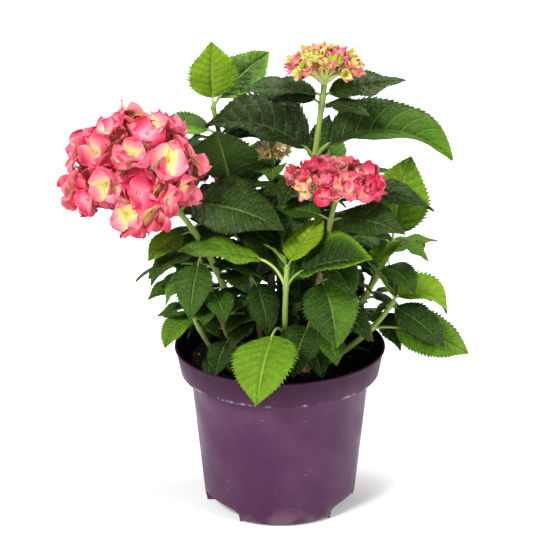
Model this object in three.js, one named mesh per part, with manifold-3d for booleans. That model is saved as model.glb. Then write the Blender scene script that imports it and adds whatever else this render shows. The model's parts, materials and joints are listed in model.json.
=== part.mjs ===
// A hydrangea shrub in a plastic nursery pot: a clump of stems from one root, with opposite
// pairs of toothed leaves and mophead blooms on the stems' tips.
// Millimetres, +Z up. The origin is the middle of the pot's flat underside.
import * as THREE from 'three';
import { mergeVertices } from 'three/addons/utils/BufferGeometryUtils.js';
import Module from 'manifold-3d';

const wasm = await Module();
wasm.setup();

// ---------------------------------------------------------------- driving dimensions

const GAP = 0.3; // clearance between neighbouring solids

const POT = {
  height: 182,
  rimRadius: 115,
  bandHeight: 30,
  bandRadius: 108.5,
  wallTopRadius: 97.8,
  wallFootRadius: 83.4,
  soleRadius: 77,
  cornerHeight: 5,
  cornerStep: 3.6,
  wall: 1.8,
  edge: 0.8,
  sides: 32,
};

// Arched notches round the foot, each with a raised pocket and a drain hole in its roof.
const NOTCH = {
  count: 3,
  turn: -25,
  span: 46,
  inner: 58,
  height: 15,
  drainRadius: 4.5,
  drainAt: 70,
};

const SOIL = { top: 157, bottom: 18, clear: 0.45, shoulder: 6 };

// A leaf's blade: width and thickness as shares of its length, the slope of its two halves in
// degrees, and how far its edges sag. Its stalk: length and radius as shares of the blade's
// length, how much steeper than the blade it climbs, and how far it is sunk past the middle of
// its stem.
const BLADE = { width: 0.64, thick: 0.022, fold: 14, sag: 0.14 };
const STALK = { long: 0.2, radius: 0.022, steeper: 18, sunk: 1.8 };

// How near a leaf may come to others, to limbs, to its own stem past its root, to blooms and
// to the pot's rim.
const CLEAR = { leaf: 5.5, stem: 6, ownStem: 16, bloom: 3, rim: 3 };

// Ways to turn or tilt a leaf that touches its neighbours, in degrees, tried in this order.
const SWERVES = [
  [0, 0], [9, 0], [-9, 0], [0, 9], [0, -9], [16, 5], [-16, 5], [16, -8], [-16, -8],
  [0, 18], [0, -18], [25, 0], [-25, 0], [25, 16], [-25, 16], [25, -16], [-25, -16],
];
const SHRINKS = [1, 0.82, 0.66];

// A stem's swelling at its foot, how deep it is drawn below the soil before it is cut off
// there, and how far its bare part reaches below its first leaves, as a share of its way.
const STEM = { swell: 0.45, fade: 9, sunk: 4, bareBelow: 0.05, sides: 5, steps: 4, leafySteps: 6 };

// Each shoot leaves the soil at its foot, bends by its knee and ends at its tip. A pair of
// opposite leaves sits at a share of that way. Seen from above, a turn of 0 points to +X and
// 90 to +Y. A pair that states only a turn grows by the rule in ruledSizes.
const SHOOTS = [
  {
    name: 'left', seed: 11, foot: [-38, -8], knee: [-52, -10, 268], tip: [-108, -30, 345],
    thick: [4.4, 2.9], long: 86,
    pairs: [
      {
        at: 0.97,
        first: { turn: -19, long: 107, rise: 8, droop: 36, stalk: 16, steeper: 40, roll: -30, wide: 0.68 },
        second: { turn: 146, long: 128, rise: 10, droop: 24, stalk: 20, steeper: -6, roll: 10, wide: 0.46 },
      },
      {
        at: 0.84,
        first: { turn: -144, long: 49, rise: -6, droop: 40, stalk: 14, steeper: 0, roll: 20 },
        second: { turn: 64, long: 60, rise: 4, droop: 50 },
      },
      { at: 0.7, turn: 110 },
      { at: 0.56, turn: -160 },
      { at: 0.42, turn: -70 },
    ],
  },
  {
    name: 'top', seed: 23, foot: [12, 10], knee: [26, 14, 300], tip: [45, 0, 462],
    thick: [4.6, 2.9], long: 92,
    pairs: [
      {
        at: 0.985,
        first: { turn: 8, long: 82, rise: 13, droop: 10, stalk: 8, steeper: 20, roll: -18, wide: 0.56 },
        second: { turn: 192, long: 82, rise: 17, droop: 24, stalk: 8, steeper: 20, roll: 6, wide: 0.54 },
      },
      {
        at: 0.955,
        first: { turn: -37, long: 54, rise: 10, droop: 30, stalk: 8, steeper: 20, roll: -8 },
        second: { turn: 160, long: 70, rise: 30, droop: 40, stalk: 10, steeper: 20, roll: 20 },
      },
      {
        at: 0.77,
        first: {
          turn: -8, long: 143, rise: 34, droop: 78, stalk: 22, steeper: 16, roll: -22, wide: 0.56, fold: 36,
        },
        second: {
          turn: 180, long: 114, rise: 38, droop: 56, stalk: 16, steeper: 14, roll: 24, wide: 0.78, fold: 32,
        },
      },
      {
        at: 0.72,
        first: { turn: 65, long: 57, rise: 56, droop: 20, stalk: 14, wide: 0.5 },
        second: { turn: -125, long: 56, rise: 4, droop: 40, stalk: 12 },
      },
      {
        at: 0.66,
        first: { turn: 30, long: 62, rise: 30, droop: 60, stalk: 14, roll: -12 },
        second: { turn: 206, long: 52, rise: 24, droop: 40 },
      },
      {
        at: 0.6,
        first: { turn: -9, long: 123, rise: 20, droop: 46, stalk: 24, steeper: 20, roll: -8, wide: 0.4 },
        second: { turn: 150, long: 76, rise: 16, droop: 50 },
      },
      { at: 0.52, turn: 100 },
      { at: 0.42, turn: 10 },
    ],
  },
  {
    name: 'middle', seed: 37, foot: [26, -22], knee: [40, -34, 262], tip: [54, -42, 342],
    thick: [4.2, 2.7], long: 84,
    pairs: [
      {
        at: 0.96,
        first: { turn: -34, long: 80, rise: 14, droop: 32, stalk: 12, steeper: 10, roll: -24 },
        second: { turn: 182, long: 68, rise: 26, droop: 30, stalk: 12, steeper: 10, roll: 14 },
      },
      { at: 0.8, turn: 84 },
      {
        at: 0.5,
        first: { turn: -71, long: 78, rise: -18, droop: 76, stalk: 20, steeper: 60, wide: 0.74, fold: 8 },
        second: { turn: 110, long: 76, rise: 10, droop: 50 },
      },
      {
        at: 0.4,
        first: { turn: -18, long: 62, rise: -12, droop: 40, stalk: 14, steeper: 10, roll: -10 },
        second: { turn: 165, long: 66, rise: 4, droop: 50 },
      },
      {
        at: 0.28,
        first: { turn: -66, long: 44, rise: -12, droop: 60, stalk: 32, steeper: 20, wide: 0.7 },
        second: { turn: 110, long: 60, rise: 6, droop: 40 },
      },
    ],
  },
  {
    name: 'front', seed: 41, foot: [6, -8], knee: [4, -50, 212], tip: [7, -62, 292],
    thick: [3.9, 2.6], long: 80,
    pairs: [
      {
        at: 1,
        first: {
          turn: 40, long: 60, rise: 52, droop: 6, stalk: 8, steeper: 4, roll: 0, wide: 0.9, fold: 24,
        },
        second: { turn: 200, long: 34, rise: 60, droop: 30, stalk: 5, steeper: 10 },
      },
      {
        at: 0.84,
        first: {
          turn: -26, long: 84, rise: 30, droop: 24, stalk: 28, steeper: 20, roll: -24, wide: 0.86, fold: 30,
        },
        second: { turn: 197, long: 91, rise: 22, droop: 20, stalk: 44, steeper: 30, roll: 6, wide: 0.6 },
      },
      {
        at: 0.4,
        first: { turn: -107, long: 80, rise: -25, droop: 40, stalk: 50, steeper: 46, wide: 0.9, fold: 10 },
        second: { turn: 73, long: 62, rise: 12, droop: 40 },
      },
    ],
  },
  {
    name: 'right_low', seed: 53, foot: [38, -12], knee: [98, -22, 196], tip: [122, -22, 240],
    thick: [3.8, 2.5], long: 66,
    pairs: [
      {
        at: 1,
        first: { turn: 189, long: 50, rise: 60, droop: 10, stalk: 8, steeper: 10, wide: 0.86 },
        second: {
          turn: 9, long: 66, rise: 22, droop: 90, stalk: 6, steeper: 20, roll: -20, wide: 0.84, fold: 32,
        },
      },
      {
        at: 0.93,
        first: { turn: -31, long: 69, rise: -16, droop: 26, stalk: 6, steeper: 10, roll: -26, wide: 0.56 },
        second: { turn: 146, long: 38, rise: -30, droop: 30, stalk: 6, steeper: 0, roll: 20, wide: 0.7 },
      },
      {
        at: 0.62,
        first: { turn: -8, long: 84, rise: -5, droop: 26, stalk: 26, steeper: 10, roll: -34, wide: 0.72 },
        second: { turn: 165, long: 56, rise: 6, droop: 50 },
      },
    ],
  },
  {
    name: 'right_tall', seed: 59, foot: [50, 16], knee: [98, 6, 236], tip: [122, -6, 302],
    thick: [4, 2.6], long: 74,
    pairs: [
      {
        at: 1,
        first: { turn: -122, long: 43, rise: -5, droop: 20, stalk: 8, steeper: 10, roll: -20, wide: 0.84 },
        second: { turn: -34, long: 36, rise: -14, droop: 30, stalk: 8, steeper: 10, wide: 0.96 },
      },
      {
        at: 0.95,
        first: { turn: 53, long: 85, rise: 80, droop: 24, stalk: 14, steeper: 0, wide: 0.84 },
        second: { turn: 200, long: 60, rise: 30, droop: 60 },
      },
      {
        at: 0.84,
        first: { turn: 52, long: 44, rise: -62, droop: 24, stalk: 12, steeper: 10, wide: 0.5 },
        second: { turn: 150, long: 70, rise: 26, droop: 50 },
      },
      { at: 0.66, turn: -60 },
      { at: 0.48, turn: 30 },
    ],
  },
  {
    name: 'back_left', seed: 67, foot: [-26, 30], knee: [-42, 46, 300], tip: [-71, 34, 438],
    thick: [4.2, 2.6], long: 88,
    pairs: [
      {
        at: 1,
        first: { turn: 105, long: 60, rise: 84, droop: -6, stalk: 10, steeper: 0, wide: 0.92 },
        second: {
          turn: 30, long: 98, rise: 42, droop: 14, stalk: 14, steeper: 10, roll: -30, wide: 0.5, fold: 20,
        },
      },
      {
        at: 0.88,
        first: { turn: 200, long: 70, rise: 38, droop: 66, stalk: 14, steeper: 10, roll: 16 },
        second: { turn: 20, long: 76, rise: 20, droop: 40 },
      },
      {
        at: 0.66,
        first: { turn: -105, long: 84, rise: 62, droop: 16, stalk: 14, steeper: 10, wide: 0.84 },
        second: { turn: 45, long: 80, rise: 24, droop: 40 },
      },
      { at: 0.52, turn: 150 },
      { at: 0.38, turn: 60 },
      { at: 0.27, turn: 160 },
    ],
  },
  {
    name: 'left_side', seed: 73, foot: [-34, -30], knee: [-64, -46, 222], tip: [-84, -50, 296],
    thick: [3.5, 2.3], long: 58,
    pairs: [
      {
        at: 1,
        first: { turn: -102, long: 63, rise: -27, droop: 50, stalk: 6, steeper: 0 },
        second: { turn: 70, long: 50, rise: 20, droop: 50 },
      },
      {
        at: 0.92,
        first: { turn: 190, long: 51, rise: -18, droop: 60, stalk: 8, steeper: 10, roll: 10 },
        second: { turn: 4, long: 60, rise: 6, droop: 50 },
      },
      { at: 0.76, turn: -96 },
      { at: 0.56, turn: 0 },
      { at: 0.4, turn: -80 },
    ],
  },
  {
    name: 'left_low', seed: 71, foot: [-52, -22], knee: [-80, -28, 190], tip: [-92, -34, 226],
    thick: [3.3, 2.2], long: 48,
    pairs: [
      {
        at: 0.97,
        first: { turn: -128, long: 48, rise: 8, droop: 76, stalk: 10, steeper: 10, wide: 0.72 },
        second: { turn: -46, long: 40, rise: 14, droop: 50, stalk: 8, steeper: 0 },
      },
      { at: 0.8, turn: 160 },
    ],
  },
  {
    name: 'front_inner', seed: 75, foot: [-14, -18], knee: [-24, -30, 215], tip: [-30, -36, 272],
    thick: [3.5, 2.3], long: 62,
    pairs: [
      {
        at: 1,
        first: { turn: -30, long: 58, rise: -30, droop: 44, stalk: 10, steeper: 10 },
        second: { turn: 150, long: 56, rise: 10, droop: 50 },
      },
      { at: 0.76, turn: 60 },
      {
        at: 0.56,
        first: { turn: -150, long: 56, rise: -2, droop: 50, stalk: 10, steeper: 10 },
        second: { turn: -10, long: 62, rise: 2, droop: 44, stalk: 10, steeper: 10 },
      },
    ],
  },
  {
    name: 'dried', seed: 79, foot: [-8, 34], knee: [-10, 52, 280], tip: [-8, 44, 372],
    thick: [4.4, 2.4], long: 82,
    pairs: [
      { at: 0.93, turn: 100 },
      { at: 0.79, turn: 12 },
      { at: 0.64, turn: 110 },
      { at: 0.48, turn: 20 },
    ],
  },
  {
    name: 'back', seed: 83, foot: [-42, 42], knee: [-72, 84, 250], tip: [-100, 96, 322],
    thick: [4.2, 2.7], long: 84,
    pairs: [
      { at: 0.95, turn: 60 },
      { at: 0.82, turn: 150 },
      { at: 0.66, turn: 70 },
      { at: 0.46, turn: 150 },
    ],
  },
  {
    name: 'back_right', seed: 89, foot: [34, 46], knee: [50, 84, 270], tip: [62, 96, 340],
    thick: [4.2, 2.6], long: 86,
    pairs: [
      {
        at: 1,
        first: { turn: 110, long: 60, rise: 50, droop: 40 },
        second: { turn: 290, long: 50, rise: 44, droop: 40 },
      },
      { at: 0.87, turn: 30 },
      { at: 0.72, turn: 115 },
      { at: 0.56, turn: 20 },
    ],
  },
  {
    name: 'back_low', seed: 97, foot: [6, 62], knee: [2, 104, 210], tip: [-8, 120, 262],
    thick: [3.8, 2.4], long: 74,
    pairs: [
      {
        at: 1,
        first: { turn: 50, long: 62, rise: 30, droop: 40 },
        second: { turn: 200, long: 56, rise: 34, droop: 40 },
      },
      { at: 0.8, turn: 150 },
      { at: 0.56, turn: 60 },
    ],
  },
  {
    name: 'back_left_low', seed: 101, foot: [-52, 26], knee: [-82, 52, 196], tip: [-90, 64, 246],
    thick: [3.6, 2.3], long: 68,
    pairs: [
      {
        at: 1,
        first: { turn: 130, long: 54, rise: 26, droop: 50 },
        second: { turn: 300, long: 46, rise: 26, droop: 50 },
      },
      { at: 0.8, turn: 50 },
      { at: 0.58, turn: 120 },
    ],
  },
  {
    name: 'back_right_low', seed: 103, foot: [62, 44], knee: [96, 68, 200], tip: [112, 78, 250],
    thick: [3.6, 2.3], long: 70,
    pairs: [
      {
        at: 1,
        first: { turn: 10, long: 60, rise: 30, droop: 40 },
        second: { turn: 190, long: 54, rise: 34, droop: 40 },
      },
      { at: 0.8, turn: 95 },
      { at: 0.58, turn: 10 },
      { at: 0.4, turn: 100 },
    ],
  },
];

// A floret's corners, half the spread of one of its four lobes in degrees, how far it is
// cupped, how far out from the bloom's middle its root sits, and how much it leans.
const FLORET = { corners: 8, lobe: 27, cup: 0.12, root: 0.5, lean: 0.4 };

// A bloom's dome stands off its shoot's tip: its middle, the way that it faces, its radius
// across and along that way, and how far its florets wrap round it, in degrees. No floret
// grows within a bloom's gap.
const BLOOMS = [
  {
    shoot: 'left', seed: 5, middle: [-151, -48, 388], face: [-0.35, -0.6, 0.72], across: 62, along: 56,
    wrap: 140, florets: 27, floret: 23, core: 0.64, gap: { toward: [-0.45, -0.35, -0.82], span: 27 },
  },
  {
    shoot: 'top', seed: 7, middle: [46, 0, 488], face: [0.02, -0.1, 1], across: 38, along: 19,
    wrap: 92, florets: 20, floret: 9.5, core: 0.6,
  },
  {
    shoot: 'middle', seed: 9, middle: [59, -52, 377], face: [0.05, -0.1, 1], across: 47, along: 18,
    wrap: 84, florets: 14, floret: 15, core: 0.56,
  },
  {
    shoot: 'dried', seed: 13, middle: [-8, 42, 388], face: [0, -0.2, 1], across: 17, along: 12,
    wrap: 100, florets: 6, floret: 7, core: 0.7,
  },
  {
    shoot: 'back', seed: 17, middle: [-108, 101, 344], face: [-0.2, 0.35, 1], across: 42, along: 28,
    wrap: 104, florets: 14, floret: 17, core: 0.58,
  },
];

// ---------------------------------------------------------------- shapes and joining

const UP = new THREE.Vector3(0, 0, 1);
const TINY = 1e-6;
const radians = THREE.MathUtils.degToRad;

function solid(geometry) {
  const bare = geometry.clone();
  bare.deleteAttribute('normal');
  bare.deleteAttribute('uv');
  const merged = mergeVertices(bare, 1e-4);
  return new wasm.Manifold(new wasm.Mesh({
    numProp: 3,
    vertProperties: new Float32Array(merged.attributes.position.array),
    triVerts: new Uint32Array(merged.index.array),
  }));
}

function join(solids) {
  return solids.reduce((whole, piece) => whole.add(piece));
}

function named(name, shape, colour, roughness) {
  const mesh = shape.getMesh();
  const geometry = new THREE.BufferGeometry();
  geometry.setAttribute('position', new THREE.BufferAttribute(mesh.vertProperties, 3));
  geometry.setIndex(new THREE.BufferAttribute(mesh.triVerts, 1));
  const material = new THREE.MeshStandardMaterial({
    color: colour, roughness, metalness: 0, flatShading: true,
  });
  const made = new THREE.Mesh(geometry, material);
  made.name = name;
  return made;
}

// Moves every vertex of a geometry to where place(x, y, z) puts it.
function reshape(geometry, place) {
  const spots = geometry.attributes.position;
  for (let i = 0; i < spots.count; i += 1) {
    const p = place(spots.getX(i), spots.getY(i), spots.getZ(i));
    spots.setXYZ(i, p.x, p.y, p.z);
  }
  return geometry;
}

// A closed cylinder bent along a curve, with a radius for each share of the way.
function limb(curve, radiusAt, sides, steps) {
  const middle = curve.getTangent(0.5);
  const guide = Math.abs(middle.z) > 0.8 ? new THREE.Vector3(1, 0, 0) : UP;
  return solid(reshape(new THREE.CylinderGeometry(1, 1, 1, sides, steps), (x, y, z) => {
    const share = THREE.MathUtils.clamp(y + 0.5, 0, 1);
    const along = curve.getTangent(share);
    const first = new THREE.Vector3().crossVectors(guide, along).normalize();
    const second = new THREE.Vector3().crossVectors(along, first);
    return curve.getPoint(share)
      .addScaledVector(first, z * radiusAt(share))
      .addScaledVector(second, x * radiusAt(share));
  }));
}

// The same draws from the same seed, between 0 and 1.
function seeded(seed) {
  let state = seed >>> 0;
  return () => {
    state = (Math.imul(state, 1664525) + 1013904223) >>> 0;
    return state / 4294967296;
  };
}

// ---------------------------------------------------------------- pot and soil

function turned(profile, sides) {
  const points = profile.map(([radius, height]) => new THREE.Vector2(radius, height));
  return solid(new THREE.LatheGeometry(points, sides).rotateX(Math.PI / 2));
}

function ringSector(inner, outer, turn, span, low, high) {
  const half = radians(span / 2);
  const shape = new THREE.Shape();
  shape.absarc(0, 0, outer, radians(turn) - half, radians(turn) + half, false);
  shape.absarc(0, 0, inner, radians(turn) + half, radians(turn) - half, true);
  const geometry = new THREE.ExtrudeGeometry(shape, {
    depth: high - low, bevelEnabled: false, curveSegments: 4,
  });
  return solid(geometry.translate(0, 0, low));
}

function pot() {
  const { height, rimRadius, bandRadius, wallTopRadius, wallFootRadius, soleRadius } = POT;
  const { cornerHeight, cornerStep, wall, edge } = POT;
  const shoulder = height - POT.bandHeight;
  let shell = turned([
    [0, 0],
    [soleRadius, 0],
    [soleRadius + cornerStep, cornerHeight / 4],
    [wallFootRadius, cornerHeight],
    [wallTopRadius, shoulder - wall],
    [bandRadius - edge, shoulder],
    [bandRadius, shoulder + edge],
    [rimRadius - wall, height - 4 * edge],
    [rimRadius, height - 2 * edge],
    [rimRadius - edge, height],
    [rimRadius - wall - edge, height],
    [bandRadius - wall, shoulder + wall],
    [wallTopRadius - wall, shoulder - edge],
    [wallFootRadius - wall, cornerHeight],
    [soleRadius, wall],
    [0, wall],
  ], POT.sides);
  for (let i = 0; i < NOTCH.count; i += 1) {
    const turn = NOTCH.turn + (360 * i) / NOTCH.count;
    const roof = NOTCH.height + wall;
    const pocketSpan = NOTCH.span + 3;
    const pocket = ringSector(NOTCH.inner - wall, wallFootRadius - 1, turn, pocketSpan, 1, roof);
    const notch = ringSector(NOTCH.inner, bandRadius, turn, NOTCH.span, -1, NOTCH.height);
    const drain = new THREE.CylinderGeometry(NOTCH.drainRadius, NOTCH.drainRadius, NOTCH.height, 8);
    drain.rotateX(Math.PI / 2).translate(NOTCH.drainAt, 0, roof).rotateZ(radians(turn));
    shell = shell.add(pocket).subtract(notch).subtract(solid(drain));
  }
  return shell;
}

function soil() {
  const { height, bandRadius, wallTopRadius, wallFootRadius, rimRadius, wall, edge } = POT;
  const shoulder = height - POT.bandHeight;
  const wallInside = (z) => THREE.MathUtils.mapLinear(
    z, POT.cornerHeight, shoulder - edge, wallFootRadius - wall, wallTopRadius - wall);
  const bandInside = (z) => THREE.MathUtils.mapLinear(
    z, shoulder + wall, height, bandRadius - wall, rimRadius - wall - edge);
  return turned([
    [0, SOIL.bottom],
    [wallInside(SOIL.bottom) - SOIL.clear, SOIL.bottom],
    [wallTopRadius - wall - SOIL.clear, shoulder - edge + SOIL.clear],
    [bandInside(shoulder + wall) - SOIL.clear, shoulder + wall + SOIL.clear],
    [bandInside(SOIL.top) - SOIL.clear, SOIL.top - 1],
    [bandInside(SOIL.top) - SOIL.shoulder, SOIL.top],
    [0, SOIL.top],
  ], POT.sides);
}

// ---------------------------------------------------------------- how a shoot grows

function pathOf(shoot) {
  return new THREE.QuadraticBezierCurve3(
    new THREE.Vector3(shoot.foot[0], shoot.foot[1], SOIL.top),
    new THREE.Vector3(...shoot.knee),
    new THREE.Vector3(...shoot.tip),
  );
}

function stemRadius(shoot, share) {
  return THREE.MathUtils.lerp(shoot.thick[0], shoot.thick[1], share);
}

// A leaf's sizes by the growth rule: lower leaves hang, upper leaves rise, the middle ones
// are the longest, and every leaf differs a little.
function ruledSizes(shoot, at, draw) {
  const [d1, d2, d3, d4] = [draw(), draw(), draw(), draw()];
  return {
    long: shoot.long * (0.76 + 0.24 * Math.sin(Math.PI * at)) * (0.88 + 0.24 * d1),
    rise: -34 + 66 * at + 16 * (d2 - 0.5),
    droop: 44 + 26 * d3,
    roll: 26 * (d4 - 0.5),
  };
}

function pairSizes(shoot, pair, draw) {
  return [pair.first, pair.second].map((own, i) => {
    const sizes = { turn: pair.turn + 180 * i, ...ruledSizes(shoot, pair.at, draw), ...own };
    return {
      stalk: STALK.long * sizes.long,
      steeper: STALK.steeper,
      wide: BLADE.width,
      fold: BLADE.fold,
      ...sizes,
    };
  });
}

// Half the blade's width at a share of its length: broad below the middle, drawn out to a tip.
function outline(share) {
  return Math.sin(Math.PI * share ** 0.78) ** 0.74 * (1 - 0.25 * share ** 3);
}

// The midrib in the leaf's own upright plane, as how far out, how far up and its slope. It runs
// along the stalk, -1 to 0, and on along the blade, 0 to 1, which droops along an arc.
function midrib(sizes, share) {
  const rise = radians(sizes.rise);
  const climb = radians(sizes.rise + sizes.steeper);
  const base = [sizes.stalk * Math.cos(climb), sizes.stalk * Math.sin(climb)];
  if (share >= 0) {
    const droop = radians(sizes.droop);
    const slope = rise - droop * share;
    return [
      base[0] + (sizes.long * (Math.sin(rise) - Math.sin(slope))) / droop,
      base[1] + (sizes.long * (Math.cos(slope) - Math.cos(rise))) / droop,
      slope,
    ];
  }
  const run = share + 1;
  const bend = [0.45 * sizes.stalk * Math.cos(rise), 0.45 * sizes.stalk * Math.sin(rise)];
  const [out, up] = base.map((b, k) => 2 * run * (1 - run) * (b - bend[k]) + run * run * b);
  return [out, up, climb + (rise - climb) * run];
}

// A leaf in place. surface(share, across) gives the point, the normal and the half width of its
// skin, from its root, -1, to its tip, 1, and from its left edge, -1, to its right edge, 1.
function leafAt(node, sizes) {
  const turn = radians(sizes.turn);
  const out = new THREE.Vector3(Math.cos(turn), Math.sin(turn), 0);
  const right = new THREE.Vector3(Math.sin(turn), -Math.cos(turn), 0);
  const roll = radians(sizes.roll);
  const fold = radians(sizes.fold);
  const stalk = STALK.radius * sizes.long;
  const surface = (share, across) => {
    const [away, up, slope] = midrib(sizes, share);
    const flatUp = out.clone().multiplyScalar(-Math.sin(slope)).addScaledVector(UP, Math.cos(slope));
    const side = right.clone().multiplyScalar(Math.cos(roll)).addScaledVector(flatUp, Math.sin(roll));
    const normal = flatUp.multiplyScalar(Math.cos(roll)).addScaledVector(right, -Math.sin(roll));
    const blade = share > 0 ? (sizes.long * sizes.wide * outline(share)) / 2 : 0;
    const half = Math.max(blade, stalk * Math.min(1, 1 - share));
    const lift = blade * (Math.abs(across) * Math.sin(fold) - BLADE.sag * across * across);
    const point = node.clone().addScaledVector(out, away).addScaledVector(UP, up)
      .addScaledVector(side, half * across * (blade ? Math.cos(fold) : 1))
      .addScaledVector(normal, lift);
    return { point, normal };
  };
  return { node, sizes, surface };
}

function samplesOf(leaf) {
  const spots = [leaf.surface(-0.4, 0).point, leaf.surface(0, 0).point];
  for (let row = 1; row <= 14; row += 1) {
    for (let column = -4; column <= 4; column += 1) {
      spots.push(leaf.surface(row / 14, column / 4).point);
    }
  }
  return spots;
}

function boxOf(spots, reach) {
  return new THREE.Box3().setFromPoints(spots).expandByScalar(reach);
}

function near(spots, others, reach) {
  const limit = reach * reach;
  return spots.some((a) => others.some((b) => a.distanceToSquared(b) < limit));
}

function insidePot(p) {
  const radius = Math.hypot(p.x, p.y);
  if (radius > POT.rimRadius + CLEAR.rim || p.z > POT.height + CLEAR.rim) return false;
  return radius > POT.bandRadius - CLEAR.rim || p.z < SOIL.top + CLEAR.rim;
}

function bloomFrame(bloom) {
  const along = new THREE.Vector3(...bloom.face).normalize();
  const first = new THREE.Vector3().crossVectors(along, new THREE.Vector3(0, 1, 0)).normalize();
  const second = new THREE.Vector3().crossVectors(along, first);
  return { along, first, second, middle: new THREE.Vector3(...bloom.middle) };
}

function insideBloom(p, bloom) {
  const { along, middle } = bloomFrame(bloom);
  const away = p.clone().sub(middle);
  const height = away.dot(along);
  if (height < bloom.along * Math.cos(radians(bloom.wrap)) - bloom.floret * 0.5) return false;
  const flat = Math.sqrt(Math.max(0, away.lengthSq() - height * height));
  const reach = CLEAR.bloom + 0.3 * bloom.floret;
  return (flat / (bloom.across + reach)) ** 2 + (height / (bloom.along + reach)) ** 2 < 1;
}

// A leaf that touches a leaf, a limb, a bloom or the pot swerves, then shrinks, and is left
// out if it still touches.
function placed(shoot, node, sizes, grown, stems) {
  for (const shrink of SHRINKS) {
    for (const [aside, tilt] of SWERVES) {
      const { turn, rise, long } = sizes;
      const tried = { ...sizes, turn: turn + aside, rise: rise + tilt, long: long * shrink };
      const leaf = leafAt(node, tried);
      const spots = samplesOf(leaf);
      const box = boxOf(spots, CLEAR.leaf);
      const beyond = spots.filter((p) => p.distanceTo(node) > CLEAR.ownStem);
      const touches = spots.some((p) => insidePot(p) || BLOOMS.some((bloom) => insideBloom(p, bloom)))
        || grown.some((other) => box.intersectsBox(other.box) && near(
          other.node === node ? beyond : spots, other.spots, CLEAR.leaf))
        || stems.some((stem) => box.intersectsBox(stem.box) && near(
          stem.shoot === shoot ? beyond : spots, stem.spots, CLEAR.stem));
      if (!touches) return { ...leaf, shoot, spots, box: boxOf(spots, 0) };
    }
  }
  return null;
}

// Leaves with sizes of their own grow first, then the ruled ones fill the room that is left.
function growLeaves(stems) {
  const wanted = SHOOTS.flatMap((shoot) => {
    const draw = seeded(shoot.seed);
    const path = pathOf(shoot);
    return shoot.pairs.flatMap((pair) => {
      const node = path.getPoint(pair.at);
      return pairSizes(shoot, pair, draw).map((sizes) => ({ shoot, node, sizes, ruled: !pair.first }));
    });
  });
  const grown = [];
  const inOrder = [...wanted.filter((w) => !w.ruled), ...wanted.filter((w) => w.ruled)];
  for (const { shoot, node, sizes } of inOrder) {
    const leaf = placed(shoot, node, sizes, grown, stems);
    if (leaf) grown.push(leaf);
  }
  return grown;
}

// ---------------------------------------------------------------- solids of the plant

// The rings of a leaf's skin between its root and its tip, as shares of its way.
const RINGS = [-0.94, -0.4, 0, 0.12, 0.34, 0.58, 0.82];

// One four-sided skin from the stalk's root to the blade's tip.
function leafSolid(leaf) {
  const { long, stalk } = leaf.sizes;
  const shares = [-1 - STALK.sunk / stalk, ...RINGS, 1];
  const last = shares.length - 1;
  return solid(reshape(new THREE.SphereGeometry(1, 4, last), (x, y, z) => {
    const share = shares[Math.round((Math.acos(THREE.MathUtils.clamp(y, -1, 1)) / Math.PI) * last)];
    const ring = Math.hypot(x, z);
    const across = ring > TINY ? x / ring : 0;
    const above = ring > TINY ? -z / ring : 0;
    const thick = share > 0 ? (BLADE.thick / 2) * long : STALK.radius * long;
    const { point, normal } = leaf.surface(share, across);
    return point.addScaledVector(normal, above * thick);
  }));
}

// The part of a shoot's path between two shares of its way, after any points put before it.
function stretch(path, from, to, before = []) {
  const points = [...before];
  for (let i = 0; i <= 8; i += 1) points.push(path.getPoint(THREE.MathUtils.lerp(from, to, i / 8)));
  return new THREE.CatmullRomCurve3(points);
}

function bareStem(shoot, firstAt) {
  const path = pathOf(shoot);
  const below = path.getTangent(0).multiplyScalar(-STEM.sunk).add(path.getPoint(0));
  const radiusAt = (share) => (
    stemRadius(shoot, share * firstAt) * (1 + STEM.swell * Math.exp(-share * STEM.fade)));
  const stem = limb(stretch(path, 0, firstAt, [below]), radiusAt, STEM.sides, STEM.steps);
  const ground = new THREE.BoxGeometry(2 * POT.rimRadius, 2 * POT.rimRadius, POT.bandHeight);
  ground.translate(0, 0, SOIL.top + GAP - POT.bandHeight / 2);
  return stem.subtract(solid(ground));
}

function leafyStem(shoot, firstAt) {
  const path = pathOf(shoot);
  const from = firstAt + GAP / path.getLength();
  const radiusAt = (share) => stemRadius(shoot, THREE.MathUtils.lerp(from, 1, share));
  return limb(stretch(path, from, 1), radiusAt, STEM.sides, STEM.leafySteps);
}

// A funnel with four square lobes, two corners to a lobe, that runs down to its root.
function floretSolid({ spot, normal, spin, radius }, root) {
  const guide = Math.abs(normal.z) > 0.9 ? new THREE.Vector3(1, 0, 0) : UP;
  const first = new THREE.Vector3().crossVectors(normal, guide).normalize();
  const second = new THREE.Vector3().crossVectors(normal, first);
  return solid(reshape(new THREE.SphereGeometry(1, FLORET.corners, 2), (x, y, z) => {
    const ring = Math.hypot(x, z);
    if (ring < TINY) return y > 0 ? spot.clone() : root.clone();
    const corner = Math.round((Math.atan2(z, x) / (2 * Math.PI)) * FLORET.corners + 0.5);
    const lobe = Math.floor(corner / 2);
    const angle = (Math.PI / 2) * lobe + radians(corner % 2 ? FLORET.lobe : -FLORET.lobe) + spin;
    return spot.clone()
      .addScaledVector(first, radius * Math.cos(angle))
      .addScaledVector(second, -radius * Math.sin(angle))
      .addScaledVector(normal, FLORET.cup * radius);
  }));
}

function insideGap(outward, gap) {
  return gap && outward.angleTo(new THREE.Vector3(...gap.toward)) < radians(gap.span);
}

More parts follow.
